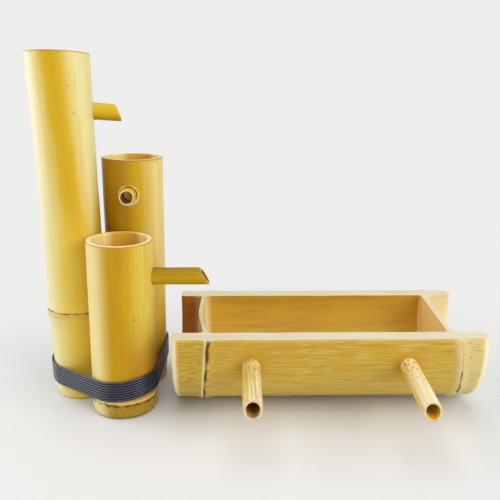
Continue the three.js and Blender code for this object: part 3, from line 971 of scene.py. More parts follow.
@dataclass
class Trough(Stalk):
    """A thick culm laid along X and opened along the top, with two webs, standing on its ridges.

    Attributes:
        centre: Middle of the trough's axis.
        rim_height: Height of the opened rim above the floor.
        webs: The left and the right web.
        mouth_bevel: Bevel inside the open ends.
        outlets: The outlet spouts in its front.
    """

    centre: tuple[float, float, float] = (0.0, 0.0, 0.0)
    rim_height: float = 0.0
    webs: tuple[Web, ...] = ()
    mouth_bevel: float = 1.2
    outlets: tuple[Spout, ...] = ()

    @property
    def frame(self) -> Array:
        """The frame.

        Returns:
            4 x 4, from the left end: own Z along +X, own X along +Y, own Y up.
        """
        frame = np.eye(4)
        frame[:3, :3] = [[0.0, 0.0, 1.0], [1.0, 0.0, 0.0], [0.0, 1.0, 0.0]]
        frame[:3, 3] = np.add(self.centre, (-self.length / 2.0, 0.0, 0.0))
        return frame

    def barrel(self, columns: int = 320) -> Array:
        """Return the uncut culm's points, from the middle of its left end to that of its right end.

        The slant of a node moves places along the culm by a share of their height across it.

        Args:
            columns: Points round the culm.

        Returns:
            Places as (rows, columns, 3).
        """
        stations = self.stations(0.0, self.length)
        stations = np.concatenate([[0.0], stations, [self.length]])
        angle = circle(columns)
        along = stations[:, None] + 0.0 * angle
        radius = self.outer(angle, along)
        radius[[0, -1]] = 0.0
        x, y = radius * np.cos(angle), radius * np.sin(angle)
        return np.stack([x, y, self.slanted(-y, along)], -1)

    def ridge_mark(self, own: Array) -> Array:
        """Return how near places are to the pale line along a ridge, left of its scar.

        Args:
            own: Places in the trough's frame.

        Returns:
            Numbers from 0 to 1.
        """
        total = np.zeros(len(own))
        for knuckle in self.knuckles:
            shift, width, strength = knuckle.pale
            line = self.slanted(-own[:, 1], np.full(len(own), knuckle.scar + shift))
            total += strength * np.exp(-(((own[:, 2] - line) / width) ** 2))
        return total

    def room(self, low: tuple[float, float], high: tuple[float, float], seed: int) -> bpy.types.Mesh:
        """Return the cutter of one hollow. An end with a fillet is closed, one without is a mouth.

        Args:
            low: Place and fillet of its left end.
            high: Place and fillet of its right end.
            seed: Picks the unevenness of its wall.

        Returns:
            The mesh.
        """
        radius = float(self.taper(np.array(0.0))) - self.wall
        rows = []
        for (place, fillet), inward in ((low, 1.0), (high, -1.0)):
            if fillet:
                part = fillet_rows(place, inward, radius, fillet)
            else:
                mouth = radius + self.mouth_bevel
                out = place - inward * 9.0
                part = np.array([[0.0, out], [mouth, out], [mouth, place]])
            rows.append(part if inward > 0 else part[::-1])
        start, stop = rows[0][-1, 1], rows[1][0, 1]
        run = np.linspace(start, stop, max(int((stop - start) / 2.0), 6))[1:-1]
        wall = np.column_stack([np.full(len(run), radius), run])
        profile = np.vstack([rows[0], wall, rows[1]])
        angle = circle(320)
        along = profile[:, 1:2] + 0.0 * angle
        depth = np.clip(profile[:, :1] / radius, 0.0, 1.0) ** 4
        reach = profile[:, :1] + 0.45 * depth * ripple(angle, along, seed) * (profile[:, :1] > 1.0)
        points = np.stack([reach * np.cos(angle), reach * np.sin(angle), along], -1)
        points[..., 2] += sum(web.shift(points, radius) for web in self.webs)
        return grid_mesh(moved(points, self.frame), ring=False)

    def side_of(self, centres: Array, normals: Array) -> Array:
        """Sort faces: skin near the outer radius facing out, bore on walls and webs of the hollows, and
        sawn wood on the rim, the ends and the planed flats.

        Args:
            centres: Own-frame centres of the faces.
            normals: Own-frame normals.

        Returns:
            A Side for each.
        """
        x, y, along = centres.T
        distance = np.hypot(x, y)
        radial = (x * normals[:, 0] + y * normals[:, 1]) / np.maximum(distance, 1e-6)
        limit = self.taper(along) - self.wall
        level = self.rim_height - self.centre[2]
        flat_rim = (np.abs(y - level) < 0.05) & (normals[:, 1] > 0.9)
        end = (along < 0.3) | (along > self.length - 0.3)
        skin = (distance > limit + 5.0) & (radial > 0.45) & (normals[:, 1] > -0.9999)
        bore = (distance < limit + 2.0) & ~flat_rim & ~end
        return np.select([flat_rim, skin, bore], [Side.SAWN, Side.SKIN, Side.BORE], Side.SAWN)

    def build(self, materials: tuple[bpy.types.Material, ...]) -> bpy.types.Object:
        """Make the trough and put it in the scene.

        Args:
            materials: Materials, in the order of Side.

        Returns:
            The object.
        """
        left, right = self.webs
        ends = ((0.0, 0.0), *left.faces, *right.faces, (self.length, 0.0))
        wide = self.length
        x, y, _ = self.centre
        cutters = [
            block((x - wide, y - wide, self.rim_height), (x + wide, y + wide, 2.0 * wide)),
            block((x - wide, y - wide, -wide), (x + wide, y + wide, 0.0)),
        ]
        cutters.extend(self.room(ends[i], ends[i + 1], self.seed + 31 + i) for i in (0, 2, 4))
        cutters.extend(outlet.drill() for outlet in self.outlets)
        mesh = carved(grid_mesh(moved(self.barrel(), self.frame), ring=False), cutters)
        level = self.rim_height - self.centre[2]

        def seep(own: Array) -> Array:
            """Return how near places are to an outlet's root, from 0 to 1.

            Args:
                own: Places in the trough's frame.

            Returns:
                The shares.
            """
            room = moved(own, self.frame)
            total = np.zeros(len(own))
            for outlet in self.outlets:
                distance = np.linalg.norm(room - np.array(outlet.seat), axis=1)
                total += 1.0 - ease(distance, outlet.radius - 1.0, outlet.radius + 12.0)
            return total

        def on_web(own: Array, web: Web, fade: float) -> Array:
            """Return 1 on a web's faces, falling to 0 over a fade along the wall.

            Args:
                own: Places in the trough's frame.
                web: The web.
                fade: Length of the fade.

            Returns:
                Numbers from 0 to 1.
            """
            line = web.at + web.shift(own, self.taper(np.array(0.0)) - self.wall)
            away = np.abs(own[:, 2] - line) - web.thickness / 2.0
            return 1.0 - ease(away, 0.6, 0.6 + fade)

        marks: Marks = {
            "rim": lambda own: ease(own[:, 1], level - 3.0, level),
            "scar": lambda own: self.scar_mark(own, 0.95),
            "halo": self.ridge_mark,
            "seep": seep,
            "mouth": lambda own: np.maximum(
                1.0 - ease(own[:, 2], 2.5, 5.5), ease(own[:, 2], self.length - 5.5, self.length - 2.5)
            ),
            # Painted shade on the walls of the small hollow left of the left web
            "chamber_shade": lambda own: 1.0 - ease(own[:, 2] - left.shift(own, 46.7), left.at - 1.0, left.at),
            "right_room": lambda own: ease(own[:, 2], right.at + 1.0, right.at + 4.0),
            "left_end": lambda own: 1.0 - ease(own[:, 2] - 0.076 * own[:, 1], 24.0, 27.0),
            "right_end": lambda own: ease(
                own[:, 2] + 0.11 * own[:, 1], self.length - 27.0, self.length - 19.0
            ),
            "left_web": lambda own: on_web(own, left, 8.0),
            "right_web": lambda own: on_web(own, right, 2.0),
        }
        return Dressing("trough_looks", "trough", "trough_skin", materials).dress(
            mesh, self.frame, self.side_of, marks
        )


@dataclass
class Lashing:
    """One unbroken cord wound tight round the three culms, climbing a little with each turn.

    Attributes:
        order: The culms in the order that the cord meets them, seen from above counter-clockwise.
        origin: Foot that heights are reckoned from.
        bearing: Bearing from the short culm to the tall one, in degrees.
        spread: Distance between the feet of these two.
        cord: Diameter of the cord that the culms were spaced for.
        thick: Diameter of the cord as it is seen.
        pitch: Climb of one turn.
        turns: Number of turns.
        height: Height of the middle of the band at the origin.
        rises: Climb towards +X and +Y as shares.
        far_rise: Further climb on the far side of the tall culm.
        tail: Straight end of the cord, square to its culm.
        bend: Where the bend before the tail begins and ends.
        arc_steps: Places on each wrap.
        span_steps: Steps between two wraps.
    """

    order: tuple[Culm, Culm, Culm]
    origin: tuple[float, float]
    bearing: float
    spread: float
    cord: float = 1.8
    thick: float = 2.0
    pitch: float = 2.32
    turns: int = 8
    height: float = 27.4
    rises: tuple[float, float] = (0.085, 0.015)
    far_rise: float = 0.16
    tail: float = 2.0
    bend: float = 1.6
    arc_steps: int = 40
    span_steps: int = 10

    def band_height(self, place: Array, turns: Array | float) -> Array:
        """Return the cord's height: the band's, plus the pitch for each turn, plus the climbs.

        Args:
            place: Places seen from the origin foot.
            turns: Turns counted from the middle of the band.

        Returns:
            The heights.
        """
        turn = math.radians(self.bearing)
        along = place[..., 0] * math.cos(turn) + place[..., 1] * math.sin(turn)
        climb = place[..., 0] * self.rises[0] + place[..., 1] * self.rises[1]
        far = self.far_rise * np.maximum(0.0, along - self.spread)
        return self.height + self.pitch * turns + climb + far

    def wrap(self, culm: Culm, turns: float) -> tuple[Array, float]:
        """Return middle and radius of the circle that the cord follows round a culm.

        Args:
            culm: The culm.
            turns: Turns counted from the middle of the band.

        Returns:
            The middle, seen from the origin foot, and the radius.
        """
        foot = np.subtract(culm.foot, self.origin)
        height = float(self.band_height(foot + np.multiply(culm.lean, self.height), turns))
        radius = float(culm.taper(np.array(height)))
        for knuckle in culm.knuckles:
            off = min(abs(height - knuckle.at) / knuckle.run, 1.0)
            radius += knuckle.rise * math.cos(math.pi / 2.0 * off) ** 2
        radius += FIT_GAP + self.cord / 2.0 - CORD_NEARER
        return foot + np.multiply(culm.lean, height), radius

    def straight(self, start: tuple[Array, float], end: tuple[Array, float]) -> tuple[float, Array, Array]:
        """Return the tight run between two wraps, on the outer side of both.

        Args:
            start: Middle and radius of the first wrap.
            end: Middle and radius of the second.

        Returns:
            The outward angle, and where the cord leaves and meets the wraps.
        """
        line = end[0] - start[0]
        turn = math.asin((start[1] - end[1]) / float(np.hypot(*line)))
        outward = math.atan2(line[1], line[0]) - math.pi / 2.0 + turn
        ray = np.array([math.cos(outward), math.sin(outward)])
        return outward, start[0] + start[1] * ray, end[0] + end[1] * ray

    def tail_places(self, wrap: tuple[Array, float], tangent: Array, onward: Array) -> Array:
        """Return the end of the cord from its tip: square to the culm, then a bend into the run.

        Args:
            wrap: Middle and radius of the culm's wrap.
            tangent: Where the run leaves it.
            onward: Direction of the run.

        Returns:
            Places as (n, 2).
        """
        centre, radius = wrap
        tip_radius = radius - self.cord / 2.0
        corner_radius = tip_radius + self.tail + self.bend
        corner = tangent + onward * math.sqrt(corner_radius**2 - radius**2)
        outward = (corner - centre) / np.hypot(*(corner - centre))
        tip = centre + outward * (tip_radius + 0.15)
        start, end = tip + outward * self.tail, corner + onward * self.bend
        t = np.linspace(0.0, 1.0, 8)[:, None]
        curve = (1 - t) ** 2 * start + 2 * t * (1 - t) * corner + t**2 * end
        return np.vstack([tip[None, :], curve])

    def path(self) -> Array:
        """Work out the middle of the cord, as (n, 3) from the origin foot.

        Round a culm the cord follows the circle of its wrap, between two culms the outer tangent of
        both, and it climbs in proportion to its length.

        Returns:
            The places.
        """
        passes = len(self.order) * self.turns
        wraps = [
            self.wrap(self.order[k % len(self.order)], k / len(self.order) - self.turns / 2.0)
            for k in range(-1, passes + 1)
        ]
        runs = [self.straight(a, b) for a, b in zip(wraps[:-1], wraps[1:])]
        first, last = ((run[2] - run[1]) / np.hypot(*(run[2] - run[1])) for run in (runs[0], runs[-1]))
        parts = [self.tail_places(wraps[0], runs[0][1], first)]
        for k in range(1, passes + 1):
            centre, radius = wraps[k]
            sweep = (runs[k][0] - runs[k - 1][0]) % (2.0 * math.pi)
            angle = runs[k - 1][0] + sweep * (np.arange(self.arc_steps) + 0.5) / self.arc_steps
            parts.append(centre + radius * np.column_stack([np.cos(angle), np.sin(angle)]))
            if k < passes:
                share = np.linspace(0.0, 1.0, self.span_steps + 1)[1:-1, None]
                parts.append(runs[k][1] + (runs[k][2] - runs[k][1]) * share)
        parts.append(self.tail_places(wraps[-1], runs[-1][2], -last)[::-1])
        flat = np.vstack(parts)
        length = np.concatenate([[0.0], np.cumsum(np.hypot(*np.diff(flat, axis=0).T))])
        turns = self.turns * (length / length[-1] - 0.5)
        return np.column_stack([flat, self.band_height(flat, turns)])

    def build(self, material: bpy.types.Material, sides: int = 14) -> bpy.types.Object:
        """Sweep a circle along the path and put the cord in the scene.

        Each ring lies square to the path: outward is the path's direction crossed with up.

        Args:
            material: The cord's material.
            sides: Points round the cord.

        Returns:
            The object.
        """
        places = self.path()
        along = np.gradient(places, axis=0)
        along /= np.linalg.norm(along, axis=1, keepdims=True)
        outward = np.cross(along, [0.0, 0.0, 1.0])
        outward /= np.linalg.norm(outward, axis=1, keepdims=True)
        upward = np.cross(outward, along)
        angle = circle(sides)[..., None]
        radius = self.thick / 2.0 * np.ones((len(places), 1, 1))
        ring = outward[:, None] * np.cos(angle) + upward[:, None] * np.sin(angle)
        tube = places[:, None] + radius * ring
        ends = np.repeat(places[[0, -1]][:, None], sides, 1)
        points = np.concatenate([ends[:1], tube, ends[1:]]) + np.array([*self.origin, 0.0])
        length = np.concatenate([[0.0], np.cumsum(np.linalg.norm(np.diff(places, axis=0), axis=1))])
        mesh = grid_mesh(points, ring=False)
        log.info("cord of %.0f mm", length[-1])
        return Dressing("lashing_cord_looks", "lashing_cord", "cord", (material,)).dress(
            mesh, np.eye(4), lambda centres, normals: np.zeros(len(centres)), {}
        )


# Finishes

MEAN_SWAY = 0.17  # about the mean of the clouds' sway, in radians


def linear(colour: str) -> tuple[float, float, float, float]:
    """Return a colour written as sRGB hex, such as "#d6b247", as linear RGBA."""
    parts = [int(colour[i:i + 2], 16) / 255.0 for i in (1, 3, 5)]
    return (*(c / 12.92 if c <= 0.04045 else ((c + 0.055) / 1.055) ** 2.4 for c in parts), 1.0)


class Tree:
    """The node tree of one new material or world."""

    def __init__(self, owner: bpy.types.Material | bpy.types.World) -> None:
        """Start the tree with its shader and output.

        Args:
            owner: The new material or world.
        """
        owner.use_nodes = True
        self.owner = owner
        self.nodes = owner.node_tree.nodes

    def add(self, kind: str, inputs: dict[str | int, Any], **settings: Any) -> bpy.types.NodeOutputs:
        """Add a node, set its settings, and set or link its inputs.

        Args:
            kind: Type of the node, without ShaderNode.
            inputs: Values, or output sockets to link, by the socket's name or number.
            **settings: Properties of the node.

        Returns:
            Its output sockets.
        """
        node = self.nodes.new("ShaderNode" + kind)
        for setting, value in settings.items():
            setattr(node, setting, value)
        self.feed(node, inputs)
        return node.outputs

    def feed(self, node: bpy.types.Node, inputs: dict[str | int, Any]) -> None:
        """Set or link inputs of a node.

        Args:
            node: The node.
            inputs: Values, or output sockets to link, by the socket's name or number.
        """
        for socket, value in inputs.items():
            if isinstance(value, bpy.types.NodeSocket):
                self.owner.node_tree.links.new(value, node.inputs[socket])
            else:
                node.inputs[socket].default_value = value

    def grain(
        self, spot: bpy.types.NodeSocket, waves: tuple[float, float, float], detail: float
    ) -> bpy.types.NodeSocket:
        """Return a grain: noise at places that are first scaled by waves per metre along each axis."""
        scaled = self.add("VectorMath", {0: spot, 1: waves}, operation="MULTIPLY")[0]
        return self.add("TexNoise", {"Vector": scaled, "Scale": 1.0, "Detail": detail})[0]


@dataclass(frozen=True)
class Tint:
    """A colour that a skin takes where one of the mesh's marks is strong.

    Attributes:
        mark: Name of the mark.
        colour: The colour.
        amount: Its greatest share.
        torn: How broken its edge is: 0 even, 1 in flecks.
    """

    mark: str
    colour: str
    amount: float
    torn: float = 0.5

    def over(
        self, t: Tree, body: bpy.types.NodeSocket, fleck: bpy.types.NodeSocket
    ) -> bpy.types.NodeSocket:
        """Return a colour with this tint laid over it.

        Args:
            t: The material's tree.
            body: The colour below.
            fleck: Noise that breaks the edge.

        Returns:
            The mixed colour.
        """
        value = t.add("Attribute", {}, attribute_name=self.mark)["Fac"]
        low = 0.5 * self.torn
        broken = t.add("MapRange", {0: fleck, 1: low, 2: low + 0.12})[0]
        share = t.add("Math", {0: value, 1: broken}, operation="MULTIPLY")[0]
        share = t.add("Math", {0: share, 1: self.amount}, operation="MULTIPLY")[0]
        return t.add("Mix", {0: share, 6: body, 7: linear(self.colour)}, data_type="RGBA")[2]


@dataclass(frozen=True)
class Streak:
    """A colour laid over a skin in streaks: noise drawn out along the fibres.

    Attributes:
        across: Waves of the noise per metre across the fibres.
        along: Waves per metre along the fibres.
        colour: The colour.
        amount: Its greatest share.
        low: Noise at which the streaks begin.
        high: Noise at which they are full.
    """

    across: float
    along: float
    colour: str
    amount: float
    low: float = 0.46
    high: float = 0.72

    def over(
        self, t: Tree, body: bpy.types.NodeSocket, spot: bpy.types.NodeSocket
    ) -> bpy.types.NodeSocket:
        """Return a colour with these streaks laid over it.

        Args:
            t: The material's tree.
            body: The colour below.
            spot: Places in the stalk's frame.

        Returns:
            The mixed colour.
        """
        noise = t.grain(spot, (self.across, self.across, self.along), 3.0)
        share = t.add("MapRange", {0: noise, 1: self.low, 2: self.high, 4: self.amount})[0]
        return t.add("Mix", {0: share, 6: body, 7: linear(self.colour)}, data_type="RGBA")[2]


@dataclass(frozen=True)
class BambooSkin:
    """Bamboo skin, heat treated, that rubbing has brought to a satin.

    The glassy skin lies over wood that shows through as long fine streaks. Light and shade are painted
    into it round the stalk: a deeper gold band of painted shade on one side, and pale flanks of painted
    reflection and light.

    Attributes:
        name: Name of the material.
        pale: Colour of the painted reflection on the flanks.
        gold: Colour of the body.
        deep: Colour of the band of painted shade.
        roughness: Roughness of the satin.
        gloss: Weight of the skin's mirror, and of the thin wax over it.
        seed: Shifts the patterns.
        side: Bearing in degrees of the band of painted shade at the foot, round the stalk from its own X.
        twist: Degrees by which that side turns back for each metre up the stalk.
        deep_degrees: Angles from that side at which the painted shade begins to fade and ends.
        pale_degrees: Angles from that side at which the painted reflection begins and is full.
        streaks: Streaks, from the broadest to the finest.
        tints: Colours at scars, rims and roots, and painted light and shade on the culms' sides.
        specks: Share of the small dark specks.
        flecks: Waves per metre of the flecks, across and along the fibres.
        pits: Places of single dark pits, in the stalk's frame.
    """

    name: str
    pale: str
    gold: str
    deep: str
    roughness: float
    gloss: tuple[float, float]
    seed: float
    side: float
    deep_degrees: tuple[float, float]
    pale_degrees: tuple[float, float]
    streaks: tuple[Streak, ...]
    tints: tuple[Tint, ...] = ()
    twist: float = 0.0
    specks: float = 0.7
    flecks: tuple[float, float] = (900.0, 260.0)
    pits: tuple[tuple[float, float, float], ...] = ()

    def sheen_and_shade(
        self, t: Tree, place: bpy.types.NodeSocket, cloud: bpy.types.NodeSocket
    ) -> bpy.types.NodeSocket:
        """Paint light and shade by the angle from the side: deep near it, then gold, then pale.

        The angle is the arc cosine of the cosine of the bearing, less the side and plus the twist up
        the stalk, and clouds make its edges sway.

        Args:
            t: The material's tree.
            place: Places in the stalk's frame.
            cloud: Noise that sways the edges.

        Returns:
            The colour.
        """
        x, y, along = t.add("SeparateXYZ", {0: place})
        bearing = t.add("Math", {0: y, 1: x}, operation="ARCTAN2")[0]
        twist = t.add("Math", {0: along, 1: math.radians(self.twist)}, operation="MULTIPLY")[0]
        turned = t.add("Math", {0: bearing, 1: twist}, operation="ADD")[0]
        turned = t.add("Math", {0: turned, 1: math.radians(self.side)}, operation="SUBTRACT")[0]
        cosine = t.add("Math", {0: turned}, operation="COSINE")[0]
        angle = t.add("Math", {0: cosine}, operation="ARCCOSINE")[0]
        sway = t.add("Math", {0: cloud, 1: 0.35}, operation="MULTIPLY")[0]
        away = t.add("Math", {0: angle, 1: sway}, operation="ADD")[0]

        # Pale flanks: painted reflection of the bright room, and painted light on the trough's lower front
        low, high = np.radians(self.pale_degrees) + MEAN_SWAY
        painted_sheen = t.add("MapRange", {0: away, 1: low, 2: high, 4: 1.0})[0]
        body = t.add(
            "Mix", {0: painted_sheen, 6: linear(self.gold), 7: linear(self.pale)}, data_type="RGBA"
        )[2]
        # Deep band: painted shade
        low, high = np.radians(self.deep_degrees) + MEAN_SWAY
        sheen_and_shade = t.add("MapRange", {0: away, 1: high, 2: low, 4: 0.95})[0]
        return t.add("Mix", {0: sheen_and_shade, 6: body, 7: linear(self.deep)}, data_type="RGBA")[2]

    def spotted(
        self, t: Tree, body: bpy.types.NodeSocket, place: bpy.types.NodeSocket, spot: bpy.types.NodeSocket
    ) -> bpy.types.NodeSocket:
        """Lay small dark specks over a colour, in two of five cells, and the single pits.

        Args:
            t: The material's tree.
            body: The colour below.
            place: Places in the stalk's frame.
            spot: The same, shifted by the seed.

        Returns:
            The colour.
        """
        scaled = t.add("VectorMath", {0: spot, 1: (95.0, 95.0, 50.0)}, operation="MULTIPLY")[0]
        cells = t.add("TexVoronoi", {"Vector": scaled, "Scale": 1.0})
        near = t.add("MapRange", {0: cells["Distance"], 1: 0.075, 2: 0.04, 4: 1.0})[0]
        which = t.add("SeparateColor", {0: cells["Color"]})[0]
        chosen = t.add("Math", {0: which, 1: 0.6}, operation="GREATER_THAN")[0]
        speck = t.add("Math", {0: near, 1: chosen}, operation="MULTIPLY")[0]
        share = t.add("Math", {0: speck, 1: self.specks}, operation="MULTIPLY")[0]
        body = t.add("Mix", {0: share, 6: body, 7: linear("#5a3a14")}, data_type="RGBA")[2]
        for pit in self.pits:
            middle = tuple(MM * part for part in pit)
            gone = t.add("VectorMath", {0: place, 1: middle}, operation="DISTANCE")["Value"]
            share = t.add("MapRange", {0: gone, 1: 0.0009, 2: 0.0004, 4: 0.75})[0]
            body = t.add("Mix", {0: share, 6: body, 7: linear("#6a3c14")}, data_type="RGBA")[2]
        return body

    def build(self) -> bpy.types.Material:
        """Make the material. Clouds are 25 mm wide, flecks 1 mm wide and 4 mm long.

        Returns:
            The material.
        """
        t = Tree(bpy.data.materials.new(self.name))
        place = t.add("Attribute", {}, attribute_name="stalk")["Vector"]
        spot = t.add("VectorMath", {0: place, 1: (self.seed, self.seed * 0.7, 0.0)})[0]
        across, along = self.flecks
        fine = t.grain(spot, (1400.0, 1400.0, 24.0), 3.0)
        cloud = t.grain(spot, (40.0, 40.0, 14.0), 3.0)
        fleck = t.grain(spot, (across, across, along), 2.0)

        body = self.sheen_and_shade(t, place, cloud)
        for streak in self.streaks:
            body = streak.over(t, body, spot)
        body = self.spotted(t, body, place, spot)
        for tint in self.tints:
            body = tint.over(t, body, fleck)

        # Fine fibres break the mirror into a satin, and a scar is rough and takes the shine away
        bump = t.add("Bump", {"Height": fine, "Strength": 0.25, "Distance": 0.0002})[0]
        low = self.roughness - 0.04
        satin = t.add("MapRange", {0: cloud, 1: 0.3, 2: 0.7, 3: low, 4: low + 0.1})[0]
        scar = t.add("Attribute", {}, attribute_name="scar")["Fac"]
        rough = t.add("Math", {0: scar, 1: 0.4}, operation="MULTIPLY")[0]
        rough = t.add("Math", {0: satin, 1: rough}, operation="ADD")[0]
        mirror, coat = self.gloss
        shader = t.nodes["Principled BSDF"]
        t.feed(shader, {"Base Color": body, "Roughness": rough, "Normal": bump, "IOR": 1.42})
        t.feed(shader, {"Specular IOR Level": mirror, "Coat Weight": coat, "Coat Roughness": 0.22})
        return t.owner


@dataclass(frozen=True)
class SawnBamboo:
    """Bamboo sawn across or along its fibres and sanded: pale, matt, with fine darker vessels.

    Attributes:
        name: Name of the material.
        pale: Colour of the soft wood.
        vessel: Colour of the fibres and vessels.
        edge: Colour near the skin.
        strength: How strong the vessels show.
        tints: Painted shade in the culms' bores and in the trough's small left hollow, and colours of the
            trough's right hollow and webs.
    """

    name: str
    pale: str
    vessel: str
    edge: str
    strength: float = 0.6
    tints: tuple[Tint, ...] = ()

    def build(self) -> bpy.types.Material:
        """Make the material. Vessels are 0.5 mm dots that run on as streaks along the fibres.

        Returns:
            The material.
        """
        t = Tree(bpy.data.materials.new(self.name))
        place = t.add("Attribute", {}, attribute_name="stalk")["Vector"]
        dots = t.grain(place, (1500.0, 1500.0, 34.0), 2.0)
        cloud = t.grain(place, (160.0, 160.0, 16.0), 2.0)
        veins = t.add("MapRange", {0: dots, 1: 0.5, 2: 0.75, 4: self.strength})[0]
        share = t.add("MapRange", {0: cloud, 1: 0.4, 2: 0.7})[0]
        body = t.add("Mix", {0: share, 6: linear(self.pale), 7: linear(self.edge)}, data_type="RGBA")[2]
        body = t.add("Mix", {0: veins, 6: body, 7: linear(self.vessel)}, data_type="RGBA")[2]
        for tint in self.tints:
            body = tint.over(t, body, dots)
        bump = t.add("Bump", {"Height": dots, "Strength": 0.3, "Distance": 0.0002})[0]
        shader = t.nodes["Principled BSDF"]
        t.feed(shader, {"Base Color": body, "Roughness": 0.62, "Normal": bump, "IOR": 1.5})
        return t.owner


@dataclass(frozen=True)
class LacqueredCord:
    """Polyester cord drawn through dark lacquer: smooth, satin, navy where it lies in shade.

    Attributes:
        name: Name of the material.
        dark: Colour of the lacquer.
        worn: Colour of the worn patches.
        crest: Colour of the painted highlight along the upper shoulder of each turn.
    """

    name: str
    dark: str
    worn: str
    crest: str

    def build(self) -> bpy.types.Material:
        """Make the material. Rubbed patches are about 6 mm long.

        Returns:
            The material.
        """
        t = Tree(bpy.data.materials.new(self.name))
        place = t.add("Attribute", {}, attribute_name="stalk")["Vector"]
        patch = t.grain(place, (90.0, 90.0, 420.0), 2.0)
        share = t.add("MapRange", {0: patch, 1: 0.45, 2: 0.8})[0]
        body = t.add("Mix", {0: share, 6: linear(self.dark), 7: linear(self.worn)}, data_type="RGBA")[2]
        # A painted highlight: a lighter line where each turn's surface faces partly upward
        up = t.add("SeparateXYZ", {0: t.add("NewGeometry", {})["Normal"]})[2]
        rise = t.add("MapRange", {0: up, 1: 0.3, 2: 0.6, 4: 0.5})[0]
        fall = t.add("MapRange", {0: up, 1: 0.97, 2: 0.75})[0]
        crest = t.add("Math", {0: rise, 1: fall}, operation="MULTIPLY")[0]
        body = t.add("Mix", {0: crest, 6: body, 7: linear(self.crest)}, data_type="RGBA")[2]
        shader = t.nodes["Principled BSDF"]
        t.feed(shader, {"Base Color": body, "Roughness": 0.18, "IOR": 1.5})
        t.feed(shader, {"Specular IOR Level": 0.35, "Coat Weight": 0.1, "Coat Roughness": 0.1})
        return t.owner


# Room


def looking(t: Tree) -> bpy.types.NodeSocket:
    """Tell the rays that look at a thing from those that carry light to it.

    Args:
        t: The tree that asks.

    Returns:
        1 for a ray from the camera, a mirror or glass, else 0.
    """
    rays = t.add("LightPath", {})
    seen = t.add("Math", {0: rays["Is Camera Ray"], 1: rays["Is Glossy Ray"]}, operation="MAXIMUM")[0]
    return t.add("Math", {0: seen, 1: rays["Is Transmission Ray"]}, operation="MAXIMUM")[0]


@dataclass(frozen=True)
class Lamp:
    """A soft box.

    Attributes:
        name: Name of the lamp.
        place: Where it hangs, in metres.
        target: What it faces, in metres.
        size: Edge of the box.
        power: Its watts.
    """

    name: str
    place: tuple[float, float, float]
    target: tuple[float, float, float]
    size: float
    power: float

    def build(self) -> None:
        """Hang the lamp."""
        light = bpy.data.lights.new(self.name, "AREA")
        light.shape, light.size, light.energy = "SQUARE", self.size, self.power
        lamp = bpy.data.objects.new(self.name, light)
        lamp.location = self.place
        aim = Vector(self.target) - Vector(self.place)
        lamp.rotation_euler = aim.to_track_quat("-Z", "Y").to_euler()
        bpy.context.scene.collection.objects.link(lamp)


